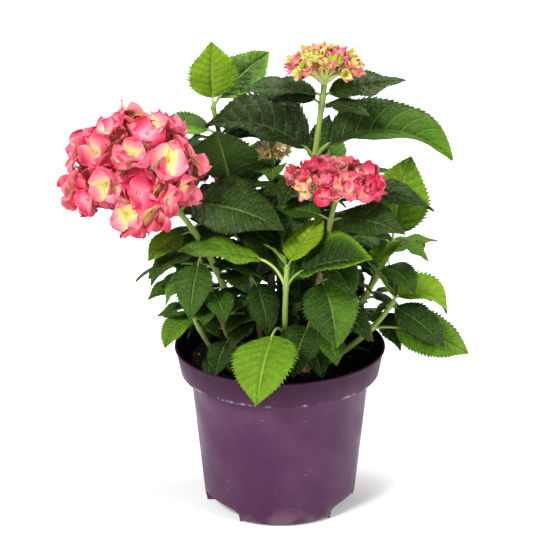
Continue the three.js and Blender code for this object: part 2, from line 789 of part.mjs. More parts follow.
// Where each floret of a bloom sits on its dome, by the golden angle from the top outwards.
function floretsOf(bloom) {
  const draw = seeded(bloom.seed);
  const { along, first, second, middle } = bloomFrame(bloom);
  const golden = Math.PI * (3 - Math.sqrt(5));
  const florets = [];
  for (let i = 0; i < bloom.florets; i += 1) {
    const [d1, d2, d3, d4, d5] = [draw(), draw(), draw(), draw(), draw()];
    const height = 1 - (1 - Math.cos(radians(bloom.wrap))) * ((i + 0.5) / bloom.florets);
    const ring = Math.sqrt(1 - height * height);
    const angle = golden * i + 0.35 * (d1 - 0.5);
    const out = first.clone().multiplyScalar(ring * Math.cos(angle))
      .addScaledVector(second, ring * Math.sin(angle));
    const reach = 0.93 + 0.14 * d2;
    if (insideGap(out.clone().addScaledVector(along, height), bloom.gap)) continue;
    const spot = middle.clone()
      .addScaledVector(out, bloom.across * reach)
      .addScaledVector(along, bloom.along * height * reach);
    const normal = out.clone().multiplyScalar(bloom.along)
      .addScaledVector(along, bloom.across * height).normalize()
      .addScaledVector(first, FLORET.lean * (d3 - 0.5))
      .addScaledVector(second, FLORET.lean * (d4 - 0.5)).normalize();
    florets.push({ spot, normal, spin: Math.PI * d5, radius: bloom.floret * (0.88 + 0.24 * d2) });
  }
  return florets;
}

function bloomSolid(bloom, shoot) {
  const { along, first, second, middle } = bloomFrame(bloom);
  const tip = new THREE.Vector3(...shoot.tip);
  const onward = pathOf(shoot).getTangent(1);
  const start = tip.clone().addScaledVector(onward, GAP);
  const bend = start.clone().addScaledVector(onward, 0.4 * start.distanceTo(middle));
  const peduncle = limb(new THREE.QuadraticBezierCurve3(start, bend, middle), () => shoot.thick[1], 5, 3);
  const core = solid(reshape(new THREE.SphereGeometry(bloom.core, 10, 6), (x, y, z) => middle.clone()
    .addScaledVector(first, x * bloom.across)
    .addScaledVector(second, z * bloom.across)
    .addScaledVector(along, -y * bloom.along)));
  const pieces = [peduncle, core];
  for (const floret of floretsOf(bloom)) {
    pieces.push(floretSolid(floret, middle.clone().lerp(floret.spot, FLORET.root)));
  }
  return join(pieces);
}

// ---------------------------------------------------------------- the assembly

const COLOURS = { pot: 0x5a3158, soil: 0x17120f, stem: 0x86a24a, leaf: 0x3f6b2a, bloom: 0xe2607c };

const plant = new THREE.Group();
plant.add(named('pot', pot(), COLOURS.pot, 0.45));
plant.add(named('potting_soil', soil(), COLOURS.soil, 0.95));

const stems = SHOOTS.map((shoot) => {
  const spots = pathOf(shoot).getSpacedPoints(40);
  return { shoot, spots, box: boxOf(spots, 0) };
});
const leaves = growLeaves(stems);

for (const shoot of SHOOTS) {
  const own = leaves.filter((leaf) => leaf.shoot === shoot);
  const firstAt = Math.min(...shoot.pairs.map((pair) => pair.at)) - STEM.bareBelow;
  plant.add(named(`stem_${shoot.name}`, bareStem(shoot, firstAt), COLOURS.stem, 0.6));
  const mass = join([leafyStem(shoot, firstAt), ...own.map(leafSolid)]);
  plant.add(named(`leaves_${shoot.name}`, mass, COLOURS.leaf, 0.5));
}

for (const bloom of BLOOMS) {
  const shoot = SHOOTS.find(({ name }) => name === bloom.shoot);
  plant.add(named(`bloom_${shoot.name}`, bloomSolid(bloom, shoot), COLOURS.bloom, 0.6));
}

export default plant;
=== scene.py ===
import json
from math import cos, degrees, pi, radians, sin, sqrt

import bpy
import numpy as np
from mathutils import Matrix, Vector

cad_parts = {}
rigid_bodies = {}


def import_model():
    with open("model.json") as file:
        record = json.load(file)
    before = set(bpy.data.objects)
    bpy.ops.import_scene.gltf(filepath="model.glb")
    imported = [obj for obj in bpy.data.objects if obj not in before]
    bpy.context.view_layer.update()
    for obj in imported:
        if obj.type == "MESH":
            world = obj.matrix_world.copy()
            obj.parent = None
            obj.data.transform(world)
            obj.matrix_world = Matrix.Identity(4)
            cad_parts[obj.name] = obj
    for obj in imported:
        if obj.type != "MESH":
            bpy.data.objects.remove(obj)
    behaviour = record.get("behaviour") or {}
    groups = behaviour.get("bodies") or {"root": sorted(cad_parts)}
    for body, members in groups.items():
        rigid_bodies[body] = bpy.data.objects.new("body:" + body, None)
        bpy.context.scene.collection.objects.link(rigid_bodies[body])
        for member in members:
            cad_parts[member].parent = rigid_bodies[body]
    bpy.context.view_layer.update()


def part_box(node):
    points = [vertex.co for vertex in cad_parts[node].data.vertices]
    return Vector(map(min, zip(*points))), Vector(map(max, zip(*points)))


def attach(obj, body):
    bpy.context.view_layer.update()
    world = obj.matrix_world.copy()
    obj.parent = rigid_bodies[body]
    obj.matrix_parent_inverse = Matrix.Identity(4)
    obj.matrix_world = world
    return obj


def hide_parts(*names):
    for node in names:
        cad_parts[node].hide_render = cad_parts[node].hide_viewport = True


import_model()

MM = 0.001  # the plant's own sizes are given in millimetres

# ------------------------------------------------------------ camera, floor and lamps
# The plant stands on a pale sweep of paper under three large round soft lamps, in an even
# white room. The camera looks slightly down on it through a long lens.

CAMERA = {"target": (-0.00365, 0.0, 0.259), "distance": 2.0, "elevation": 20.05, "lens": 120.9}
FLOOR = {"reach": 6.0, "colour": (0.86, 0.86, 0.865, 1.0), "shade": (0.88, 0.88, 0.885, 1.0),
         "roughness": 0.9, "mottle": 3.0, "painted_glow_from": 0.1, "painted_glow_to": 1.0, "painted_glow_near": 0.2,
         "painted_glow": 0.6}
ROOM = {"colour": (1.0, 1.0, 1.0, 1.0), "strength": 0.30}
LAMPS = {
    "key": {"at": (-1.3, -1.5, 1.9), "size": 0.7, "power": 68},
    "fill": {"at": (2.0, -1.3, 1.1), "size": 1.2, "power": 30},
    "top": {"at": (0.3, 0.7, 2.2), "size": 0.9, "power": 50},
}

lens = bpy.data.cameras.new("camera")
lens.lens = CAMERA["lens"]
lens.sensor_width = 36
camera = bpy.data.objects.new("camera", lens)
bpy.context.collection.objects.link(camera)
tilt = radians(CAMERA["elevation"])
backward = Vector((0, -cos(tilt), sin(tilt)))
camera.location = Vector(CAMERA["target"]) + backward * CAMERA["distance"]
camera.rotation_euler = (radians(90) - tilt, 0, 0)
bpy.context.scene.camera = camera
bpy.context.scene.view_settings.view_transform = "Standard"

room = bpy.data.worlds.new("white room")
room.use_nodes = True
room.node_tree.nodes["Background"].inputs["Color"].default_value = ROOM["colour"]
room.node_tree.nodes["Background"].inputs["Strength"].default_value = ROOM["strength"]
bpy.context.scene.world = room

for name, lamp in LAMPS.items():
    light = bpy.data.lights.new(name, "AREA")
    light.shape = "DISK"
    light.size = lamp["size"]
    light.energy = lamp["power"]
    placed = bpy.data.objects.new(name, light)
    placed.location = lamp["at"]
    aim = Vector(CAMERA["target"]) - Vector(lamp["at"])
    placed.rotation_euler = aim.to_track_quat("-Z", "Y").to_euler()
    bpy.context.collection.objects.link(placed)


def add_node(tree, kind, settings=None, **inputs):
    """A node with its settings, and its inputs set or linked by name, or by number as _0."""
    made = tree.nodes.new(kind)
    for key, value in (settings or {}).items():
        setattr(made, key, value)
    for key, value in inputs.items():
        socket = made.inputs[int(key[1:])] if key[0] == "_" else made.inputs[key.replace("_", " ")]
        if isinstance(value, bpy.types.NodeSocket):
            tree.links.new(value, socket)
        else:
            socket.default_value = value
    return made


def stretch(tree, value, low, high, to_low=0.0, to_high=1.0):
    """Carries low..high softly over to to_low..to_high."""
    made = add_node(tree, "ShaderNodeMapRange", {"interpolation_type": "SMOOTHSTEP"}, Value=value,
                    From_Min=low, From_Max=high, To_Min=to_low, To_Max=to_high)
    return made.outputs["Result"]


def blend(tree, share, first, second):
    """The first colour where share is 0, the second where it is 1."""
    made = add_node(tree, "ShaderNodeMix", {"data_type": "RGBA"})
    for socket, value in ((0, share), (6, first), (7, second)):
        if isinstance(value, bpy.types.NodeSocket):
            tree.links.new(value, made.inputs[socket])
        else:
            made.inputs[socket].default_value = value
    return made.outputs[2]


def grain(tree, scale, detail=3.0, roughness=0.5, kind="ShaderNodeTexNoise", place=None, **extra):
    """Noise over the piece's own coordinates, with a scale per metre."""
    if place is None:
        place = add_node(tree, "ShaderNodeTexCoord").outputs["Object"]
    made = add_node(tree, kind, extra, Vector=place, Scale=scale)
    for name, value in (("Detail", detail), ("Roughness", roughness)):
        if name in made.inputs:
            made.inputs[name].default_value = value
    return made.outputs[0]


def new_material(name, roughness=0.5, **constant):
    """A material with its one shader, on which sockets that are the same all over are set."""
    material = bpy.data.materials.new(name)
    material.use_nodes = True
    tree = material.node_tree
    shader = tree.nodes["Principled BSDF"]
    shader.inputs["Roughness"].default_value = roughness
    for key, value in constant.items():
        shader.inputs[key.replace("_", " ")].default_value = value
    return material, tree, shader


def finish_with(tree, shader, **outputs):
    """Links what varies over the surface to the shader's sockets, by name."""
    for key, value in outputs.items():
        tree.links.new(value, shader.inputs[key.replace("_", " ")])


def new_object(name, points, edges, faces, **numbers):
    """A mesh object at the origin, in metres, with numbers stored on its points by name."""
    mesh = bpy.data.meshes.new(name)
    mesh.from_pydata(np.asarray(points, float).reshape(-1, 3).tolist(), edges, faces)
    for key, values in numbers.items():
        values = np.asarray(values)
        kind, slot = "INT" if values.dtype.kind == "i" else "FLOAT", "value"
        if values.ndim == 2:
            kind, slot = "FLOAT_VECTOR", "vector"
        mesh.attributes.new(key, kind, "POINT").data.foreach_set(slot, values.ravel().tolist())
    made = bpy.data.objects.new(name, mesh)
    bpy.context.collection.objects.link(made)
    return made


def new_piece(name, points, faces, material, **numbers):
    """A smooth mesh piece that wears one material."""
    made = new_object(name, points, [], faces, **numbers)
    made.data.materials.append(material)
    made.data.polygons.foreach_set("use_smooth", [True] * len(faces))
    return made


paper, tree, shader = new_material("pale paper", FLOOR["roughness"], Emission_Color=(1.0, 1.0, 1.0, 1.0))
mottle = stretch(tree, grain(tree, FLOOR["mottle"]), 0.3, 0.7)
# painted light: the paper glows by itself, faintly where the plant stands and brighter further away, in
# place of lamps behind the sweep
place = add_node(tree, "ShaderNodeTexCoord").outputs["Object"]
away = add_node(tree, "ShaderNodeVectorMath", {"operation": "LENGTH"}, _0=place).outputs["Value"]
painted_glow = stretch(tree, away, FLOOR["painted_glow_from"], FLOOR["painted_glow_to"], FLOOR["painted_glow_near"], FLOOR["painted_glow"])
finish_with(tree, shader, Base_Color=blend(tree, mottle, FLOOR["colour"], FLOOR["shade"]),
            Emission_Strength=painted_glow)
side = FLOOR["reach"]
floor = new_piece("floor", [(-side, -side, 0), (side, -side, 0), (side, side, 0), (-side, side, 0)],
                  [(0, 1, 2, 3)], paper)

# ------------------------------------------------------------ pot
# A round nursery pot, injection-moulded in one piece from dark purple polypropylene: a thin
# tapered wall, a flared band under a rolled rim, and three arched notches with drain holes
# round its foot. Handling has scuffed the band's lower edge and left pale scratches and dust.

pot_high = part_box("pot")[1]
POT = {
    "height": pot_high[2] / MM, "rim": pot_high[0] / MM, "band": 30, "band_radius": 108.5,
    "wall_top": 97.8, "wall_foot": 83.4, "sole": 77, "corner": 5, "wall": 1.8, "round": 0.9,
    "sides": 192, "crease": 40,
}
NOTCH = {"count": 3, "turn": -25, "span": 46, "inner": 58, "height": 15, "arch": 5.0, "drain": 4.5,
         "drain_at": 70}
NOTCH_TURNS = [NOTCH["turn"] + 360 * k / NOTCH["count"] for k in range(NOTCH["count"])]
# the darkest purple serves both for grime and for the painted shade on the band
PURPLE = {
    "body": (0.063, 0.017, 0.058, 1), "worn": (0.096, 0.036, 0.084, 1), "deep": (0.030, 0.006, 0.021, 1),
    "scuff": (0.42, 0.33, 0.40, 1), "dust_and_sheen": (0.20, 0.13, 0.15, 1), "inner_shade": (0.012, 0.007, 0.012, 1),
}
# how many of each mark there are to a metre
WEAR = {"clouds": 14.0, "grime": 60.0, "scratches": (60.0, 60.0, 900.0), "scratched": 30.0, "rubs": 55.0,
        "specks": 95.0, "speckled": 17.0, "dust_and_sheen": 40.0, "gloss": 35.0, "skin": 900.0}


def lathe(profile, sides):
    """Points and faces of a closed profile turned round the Z axis, whose ends lie on it."""
    ring = [(r, z) for r, z in profile[1:-1]]
    turn = np.arange(sides) * 2 * pi / sides
    points = [(r * cos(t), r * sin(t), z) for r, z in ring for t in turn]
    low, high = len(points), len(points) + 1
    points += [(0, 0, profile[0][1]), (0, 0, profile[-1][1])]
    last = (len(ring) - 1) * sides
    faces = []
    for i in range(sides):
        j = (i + 1) % sides
        faces.append((low, j, i))
        faces.append((high, last + i, last + j))
        faces += [(k * sides + i, k * sides + j, k * sides + sides + j, k * sides + sides + i)
                  for k in range(len(ring) - 1)]
    return points, faces


def rounded(points, radius, steps=3):
    """The same profile with each corner cut to a small arc."""
    done = [points[0]]
    for before, corner, after in zip(points, points[1:], points[2:]):
        corner_at = Vector(corner)
        back, ahead = Vector(before) - corner_at, Vector(after) - corner_at
        cut = min(radius, 0.4 * back.length, 0.4 * ahead.length)
        first, last = corner_at + back.normalized() * cut, corner_at + ahead.normalized() * cut
        for i in range(steps + 1):
            t = i / steps
            done.append(tuple(first * (1 - t) ** 2 + corner_at * 2 * t * (1 - t) + last * t * t))
    return done + [points[-1]]


def ring_sectors(inner, outer, span, low, high, arch=0.0, steps=14):
    """Closed blocks round the Z axis, one for each notch. An arch lowers the roof's two ends."""
    points, faces = [], []
    for turn in NOTCH_TURNS:
        base = len(points)
        for i in range(steps + 1):
            swing = radians(turn + span * (i / steps - 0.5))
            roof = high - arch * abs(2 * i / steps - 1) ** 5
            for r, z in ((inner, low), (outer, low), (outer, roof), (inner, roof)):
                points.append((r * cos(swing), r * sin(swing), z))
        for i in range(steps):
            a = base + 4 * i
            faces += [(a + j, a + 4 + j, a + 4 + (j + 1) % 4, a + (j + 1) % 4) for j in range(4)]
        end = base + 4 * steps
        faces += [(base, base + 1, base + 2, base + 3), (end + 3, end + 2, end + 1, end)]
    return points, faces


def cut_or_join(body, operation, points, faces):
    """Takes a closed tool shape, in millimetres, away from a body or adds it."""
    tool = new_piece("tool", np.array(points) * MM, faces, body.data.materials[0])
    change = body.modifiers.new("change", "BOOLEAN")
    change.operation = operation
    change.solver = "EXACT"
    change.object = tool
    settle(body)
    bpy.data.objects.remove(tool)


def settle(made):
    """Turns an object's live modifiers into its plain mesh."""
    view = bpy.context.evaluated_depsgraph_get()
    mesh = bpy.data.meshes.new_from_object(made.evaluated_get(view), depsgraph=view)
    made.modifiers.clear()
    made.data = mesh


def maths(tree, operation, first, second=0.0):
    return add_node(tree, "ShaderNodeMath", {"operation": operation}, _0=first, _1=second).outputs[0]


def times(tree, first, second):
    return maths(tree, "MULTIPLY", first, second)


def plus(tree, first, second):
    return maths(tree, "ADD", first, second)


def stored(tree, name):
    """A number that the piece's mesh keeps on its points."""
    return add_node(tree, "ShaderNodeAttribute", {"attribute_name": name}).outputs["Fac"]


def bumped(tree, height, distance, strength=1.0):
    made = add_node(tree, "ShaderNodeBump", Height=height, Distance=distance, Strength=strength)
    return made.outputs["Normal"]


plastic, tree, shader = new_material("purple polypropylene", Specular_IOR_Level=0.15)
place = add_node(tree, "ShaderNodeTexCoord").outputs["Object"]
height = add_node(tree, "ShaderNodeSeparateXYZ", Vector=place).outputs["Z"]
clouds = stretch(tree, grain(tree, WEAR["clouds"], 5.0, 0.6), 0.35, 0.85)
tone = blend(tree, clouds, PURPLE["body"], PURPLE["worn"])
tone = blend(tree, stretch(tree, grain(tree, WEAR["grime"], 6.0, 0.7), 0.6, 0.9), tone, PURPLE["deep"])
# long scratches lie level round the wall: the noise is stretched along the turn
level = add_node(tree, "ShaderNodeMapping", Vector=place, Scale=WEAR["scratches"], Rotation=(0.12, 0.3, 0.0))
scratch = grain(tree, 1.0, 2.0, 0.5, place=level.outputs["Vector"])
patch = stretch(tree, grain(tree, WEAR["scratched"], 2.0), 0.58, 0.70)
scratch = times(tree, stretch(tree, scratch, 0.66, 0.74), patch)
# the band's lower edge is rubbed pale, and the wall has a few pale specks
edge = (POT["height"] - POT["band"]) * MM
rubbed = maths(tree, "ABSOLUTE", maths(tree, "SUBTRACT", height, edge + 0.001))
rubbed = stretch(tree, rubbed, 0.0035, 0.0)
rubbed = times(tree, rubbed, stretch(tree, grain(tree, WEAR["rubs"], 4.0, 0.7), 0.5, 0.62))
specks = stretch(tree, grain(tree, WEAR["specks"], kind="ShaderNodeTexVoronoi"), 0.16, 0.09)
specks = times(tree, specks, stretch(tree, grain(tree, WEAR["speckled"]), 0.54, 0.62))
marks = maths(tree, "MAXIMUM", maths(tree, "MAXIMUM", scratch, rubbed), specks)
# the foot is dusty
foot = stretch(tree, height, 0.030, 0.0, 0.0, 0.6)
foot = times(tree, foot, stretch(tree, grain(tree, WEAR["dust_and_sheen"]), 0.4, 0.65))
tone = blend(tree, foot, tone, PURPLE["dust_and_sheen"])
# painted shade: the band is painted darker than the wall, most of all up under its rim
band_shade = stretch(tree, height, edge, edge + 0.026, 0.45, 0.9)
band_shade = times(tree, band_shade, stretch(tree, height, edge - 0.001, edge))
tone = blend(tree, band_shade, tone, PURPLE["deep"])
tone = blend(tree, times(tree, marks, 0.62), tone, PURPLE["scuff"])
# painted shade: the inner wall is painted near black
tone = blend(tree, stored(tree, "inner_shade"), tone, PURPLE["inner_shade"])
gloss = stretch(tree, grain(tree, WEAR["gloss"], 4.0), 0.3, 0.7, 0.34, 0.50)
gloss = plus(tree, gloss, times(tree, plus(tree, marks, band_shade), 0.2))
skin = plus(tree, times(tree, grain(tree, WEAR["skin"], 2.0), 0.3), times(tree, marks, -0.6))
finish_with(tree, shader, Base_Color=tone, Roughness=gloss, Normal=bumped(tree, skin, 0.00025, 0.6))

shoulder = POT["height"] - POT["band"]
wall = POT["wall"]
section = [
    (0, 0), (POT["sole"], 0), (POT["sole"] + 3.6, 1.2), (POT["wall_foot"], POT["corner"]),
    (POT["wall_top"], shoulder - 1.8), (POT["wall_top"] + 0.8, shoulder - 1.2),
    (POT["band_radius"] - 0.8, shoulder), (POT["band_radius"], shoulder + 0.8),
    (POT["rim"] - 1.8, POT["height"] - 3.4), (POT["rim"], POT["height"] - 1.8),
    (POT["rim"] - 0.7, POT["height"]), (POT["rim"] - 2.6, POT["height"]),
    (POT["band_radius"] - wall, shoulder + wall), (POT["wall_top"] - wall, shoulder - 0.8),
    (POT["wall_foot"] - wall, POT["corner"]), (POT["sole"], wall), (0, wall),
]
points, faces = lathe(rounded(section, POT["round"]), POT["sides"])
pot = new_piece("nursery_pot", np.array(points) * MM, faces, plastic)
roof = NOTCH["height"] + wall
cut_or_join(pot, "UNION", *ring_sectors(
    NOTCH["inner"] - wall, POT["wall_foot"] - 1, NOTCH["span"] + 3, 1, roof))
cut_or_join(pot, "DIFFERENCE", *ring_sectors(
    NOTCH["inner"], POT["wall_foot"] + 12, NOTCH["span"], -1, NOTCH["height"], NOTCH["arch"]))
low, high = NOTCH["height"] - 4, NOTCH["height"] + 6
drain, drain_faces = lathe([(0, low), (NOTCH["drain"], low), (NOTCH["drain"], high), (0, high)], 24)
for turn in NOTCH_TURNS:
    offset = np.array([cos(radians(turn)), sin(radians(turn)), 0]) * NOTCH["drain_at"]
    cut_or_join(pot, "DIFFERENCE", np.array(drain) + offset, drain_faces)
# points well inside the outer face are marked: the inner wall is painted near black, a painted shade for the
# pot's shadowed inside
spots = np.array([v.co for v in pot.data.vertices]) / MM
out = np.hypot(spots[:, 0], spots[:, 1])
wall_at = np.interp(
    spots[:, 2], [0, POT["corner"], shoulder, shoulder + 1, POT["height"] - 3, POT["height"]],
    [POT["sole"], POT["wall_foot"], POT["wall_top"], POT["band_radius"], POT["rim"] - 1.8, POT["rim"] - 1.2])
inner_shade = np.clip((wall_at - wall / 2 - out) / 0.6, 0, 1) * (spots[:, 2] > 1.5)
pot.data.attributes.new("inner_shade", "FLOAT", "POINT").data.foreach_set("value", inner_shade)
pot.data.polygons.foreach_set("use_smooth", [True] * len(pot.data.polygons))
pot.data.set_sharp_from_angle(angle=radians(POT["crease"]))
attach(pot, "root")
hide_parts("pot")

# ------------------------------------------------------------ potting soil
# Moist peat compost, filled in to below the pot's rim: a dark uneven surface, with loose
# crumbs lying on it, a few of them dry and pale.

SOIL = {"top": 157, "bottom": 18, "swell": 2.2, "rings": 44, "sides": 160}
# the swellings of the surface: seed, size in millimetres and share
SWELLS = [(3, 14.0, 0.6), (5, 34.0, 0.4)]
CRUMBS = {"to_square_metre": 52000.0, "size": 0.55, "smallest": 0.5, "largest": 3.0, "seed": 4,
          "grain": 420.0}
EARTH = {"wet": (0.0028, 0.0022, 0.002, 1), "dry": (0.013, 0.009, 0.007, 1), "pale": (0.13, 0.10, 0.075, 1)}


def wavy(x, y, seed, size, waves=26):
    """A smooth bumpy height over a plane, between about -1 and 1, the same for the same seed."""
    draw = np.random.default_rng(seed)
    total = np.zeros_like(x, dtype=float)
    for _ in range(waves):
        swing, phase = draw.uniform(0, 2 * pi, 2)
        pace = 2 * pi / (size * draw.uniform(0.4, 2.4))
        total += np.sin(pace * (x * cos(swing) + y * sin(swing)) + phase)
    return total / sqrt(waves)


earth, tree, shader = new_material("peat compost", 0.9, Specular_IOR_Level=0.15)
crumb = grain(tree, CRUMBS["grain"], 5.0, 0.7)
tone = blend(tree, stretch(tree, crumb, 0.4, 0.75), EARTH["wet"], EARTH["dry"])
tone = blend(tree, stored(tree, "pale"), tone, EARTH["pale"])
finish_with(tree, shader, Base_Color=tone, Roughness=stretch(tree, crumb, 0.3, 0.7, 0.75, 0.95),
            Normal=bumped(tree, crumb, 0.0012))

pot_inside = [(POT["wall_foot"] - 2.6, SOIL["bottom"]), (POT["wall_top"] - 2.4, shoulder - 0.8),
              (POT["band_radius"] - 2.3, shoulder + 2.2), (POT["band_radius"] - 1.2, SOIL["top"] - 1)]
profile = [(0, SOIL["bottom"]), *pot_inside]
profile += [(pot_inside[-1][0] * (1 - i / SOIL["rings"]), SOIL["top"]) for i in range(1, SOIL["rings"])]
points, faces = lathe(profile + [(0, SOIL["top"])], SOIL["sides"])
points = np.array(points)
top = points[:, 2] > SOIL["top"] - 0.5
points[top, 2] += SOIL["swell"] * sum(
    wavy(points[top, 0], points[top, 1], seed, size) * share for seed, size, share in SWELLS)
soil = new_piece("soil_surface", points * MM, faces, earth, pale=np.zeros(len(points)))
crumbs = new_piece("soil_crumbs", points * MM, faces, earth)


def new_tree(name, **inputs):
    """A Geometry Nodes tree that takes a Geometry and the named inputs, and gives a Geometry."""
    tree = bpy.data.node_groups.new(name, "GeometryNodeTree")
    tree.interface.new_socket("Geometry", in_out="INPUT", socket_type="NodeSocketGeometry")
    tree.interface.new_socket("Geometry", in_out="OUTPUT", socket_type="NodeSocketGeometry")
    for key, (kind, value) in inputs.items():
        socket = tree.interface.new_socket(key, in_out="INPUT", socket_type="NodeSocket" + kind)
        if value is not None:
            socket.default_value = value
    return tree, tree.nodes.new("NodeGroupInput"), tree.nodes.new("NodeGroupOutput")


def run_tree(made, tree, **values):
    """Runs a tree on an object with its inputs set, and keeps the result as a plain mesh."""
    change = made.modifiers.new(tree.name, "NODES")
    change.node_group = tree
    for item in tree.interface.items_tree:
        if item.in_out == "INPUT" and item.name in values:
            change[item.identifier] = values[item.name]
    settle(made)


def dressed(tree, given, result, geometry):
    """Ends a tree: the shape, smooth or not, wears the material that the tree is given."""
    worn = add_node(tree, "GeometryNodeSetMaterial", Geometry=geometry, Material=given.outputs["Material"])
    tree.links.new(worn.outputs[0], result.inputs[0])


def scatter_tree():
    """Strews turned copies of a crumb over the upward faces of a surface."""
    tree, given, result = new_tree(
        "crumbs on soil", Crumb=("Object", None), Density=("Float", 1000.0), Seed=("Int", 1),
        Smallest=("Float", 0.5), Largest=("Float", 2.0), Material=("Material", None))
    seed = given.outputs["Seed"]
    facing = add_node(tree, "GeometryNodeInputNormal")
    up = add_node(tree, "ShaderNodeSeparateXYZ", Vector=facing.outputs[0]).outputs["Z"]
    upward = add_node(tree, "FunctionNodeCompare", {"operation": "GREATER_THAN"}, _0=up, _1=0.7)
    points = add_node(tree, "GeometryNodeDistributePointsOnFaces", Mesh=given.outputs["Geometry"],
                      Selection=upward.outputs[0], Density=given.outputs["Density"], Seed=seed)
    turned = add_node(tree, "FunctionNodeRandomValue", {"data_type": "FLOAT_VECTOR"},
                      _0=(0.0, 0.0, 0.0), _1=(2 * pi, 2 * pi, 2 * pi), Seed=seed)
    size = add_node(tree, "FunctionNodeRandomValue", {"data_type": "FLOAT"},
                    _2=given.outputs["Smallest"], _3=given.outputs["Largest"], Seed=seed)
    crumb = add_node(tree, "GeometryNodeObjectInfo", Object=given.outputs["Crumb"])
    placed = add_node(tree, "GeometryNodeInstanceOnPoints", Points=points.outputs["Points"],
                      Instance=crumb.outputs["Geometry"], Rotation=turned.outputs[0], Scale=size.outputs[1])
    # most crumbs are dark: only what comes out above 0 is paler than the soil
    paleness = add_node(tree, "FunctionNodeRandomValue", {"data_type": "FLOAT"}, _2=-3.2, _3=1.0, Seed=9)
    tinted = add_node(tree, "GeometryNodeStoreNamedAttribute", {"data_type": "FLOAT", "domain": "INSTANCE"},
                      Geometry=placed.outputs[0], Name="pale", Value=paleness.outputs[1])
    whole = add_node(tree, "GeometryNodeRealizeInstances", Geometry=tinted.outputs[0])
    dressed(tree, given, result, whole.outputs[0])
    return tree


def rough_ball(size, seed):
    """A small lump of twenty faces with uneven corners."""
    long = (1 + sqrt(5)) / 2
    corners = [(-1, long, 0), (1, long, 0), (-1, -long, 0), (1, -long, 0), (0, -1, long), (0, 1, long),
               (0, -1, -long), (0, 1, -long), (long, 0, -1), (long, 0, 1), (-long, 0, -1), (-long, 0, 1)]
    faces = [(0, 11, 5), (0, 5, 1), (0, 1, 7), (0, 7, 10), (0, 10, 11), (1, 5, 9), (5, 11, 4), (11, 10, 2),
             (10, 7, 6), (7, 1, 8), (3, 9, 4), (3, 4, 2), (3, 2, 6), (3, 6, 8), (3, 8, 9), (4, 9, 5),
             (2, 4, 11), (6, 2, 10), (8, 6, 7), (9, 8, 1)]
    uneven = np.random.default_rng(seed).uniform(0.7, 1.2, (12, 1))
    return np.array(corners) * uneven * size * (1.0, 0.75, 0.5), faces


points, faces = rough_ball(CRUMBS["size"] * MM, 8)
crumb = new_piece("crumb", points, faces, earth)
run_tree(crumbs, scatter_tree(), Crumb=crumb, Density=CRUMBS["to_square_metre"], Seed=CRUMBS["seed"],
         Smallest=CRUMBS["smallest"], Largest=CRUMBS["largest"], Material=earth)
bpy.data.objects.remove(crumb)
for made in (soil, crumbs):
    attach(made, "root")
    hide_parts("potting_soil")

# ------------------------------------------------------------ how the shrub grows
# Sixteen shoots rise from one root clump. Each leaves the soil at its foot, bends by its knee
# and ends at its tip, with opposite pairs of leaves at shares of its way. Seen from above, a
# turn of 0 points to +X and 90 to +Y. Leaves with sizes of their own grow first, then the
# ruled ones fill the room that is left, as in the solids. Millimetres and degrees.

BLADE = {"wide": 0.64, "fold": 14, "sag": 0.14, "base": 0.78, "round": 0.74, "taper": 0.25}
STALK = {"long": 0.2, "thick": 0.022, "steeper": 18, "bend": 0.45, "sides": 7}
# a ruled leaf is longest halfway up its shoot, and rises more the higher it grows
RULED = {"short": 0.76, "longer": 0.24, "least": 0.88, "vary": 0.24, "rise": -34, "higher": 66, "tilt": 16,
         "droop": 44, "more_droop": 26, "roll": 26}
# how far a leaf keeps off others, off stems, its own stem's joint, blooms and the pot's rim
CLEAR = {"leaf": 5.5, "stem": 6, "own_stem": 16, "bloom": 3, "rim": 3}
SWERVES = [(0, 0), (9, 0), (-9, 0), (0, 9), (0, -9), (16, 5), (-16, 5), (16, -8), (-16, -8), (0, 18),
           (0, -18), (25, 0), (-25, 0), (25, 16), (-25, 16), (25, -16), (-25, -16)]
SHRINKS = [1, 0.82, 0.66]
LIMB_STEPS = 40


def new_shoot(name, seed, foot, knee, tip, thick, long, pairs):
    return {"name": name, "seed": seed, "foot": np.array((*foot, SOIL["top"]), float),
            "knee": np.array(knee, float), "tip": np.array(tip, float), "thick": thick, "long": long,
            "pairs": pairs}


def leaf(turn, long, rise, droop, tone, **own):
    return {"turn": turn, "long": long, "rise": rise, "droop": droop, "tone": tone, **own}


def pair(at, first, second):
    return {"at": at, "own": (first, second), "ruled": False}


def ruled(at, turn):
    return {"at": at, "own": ({"turn": turn}, {"turn": turn + 180}), "ruled": True}


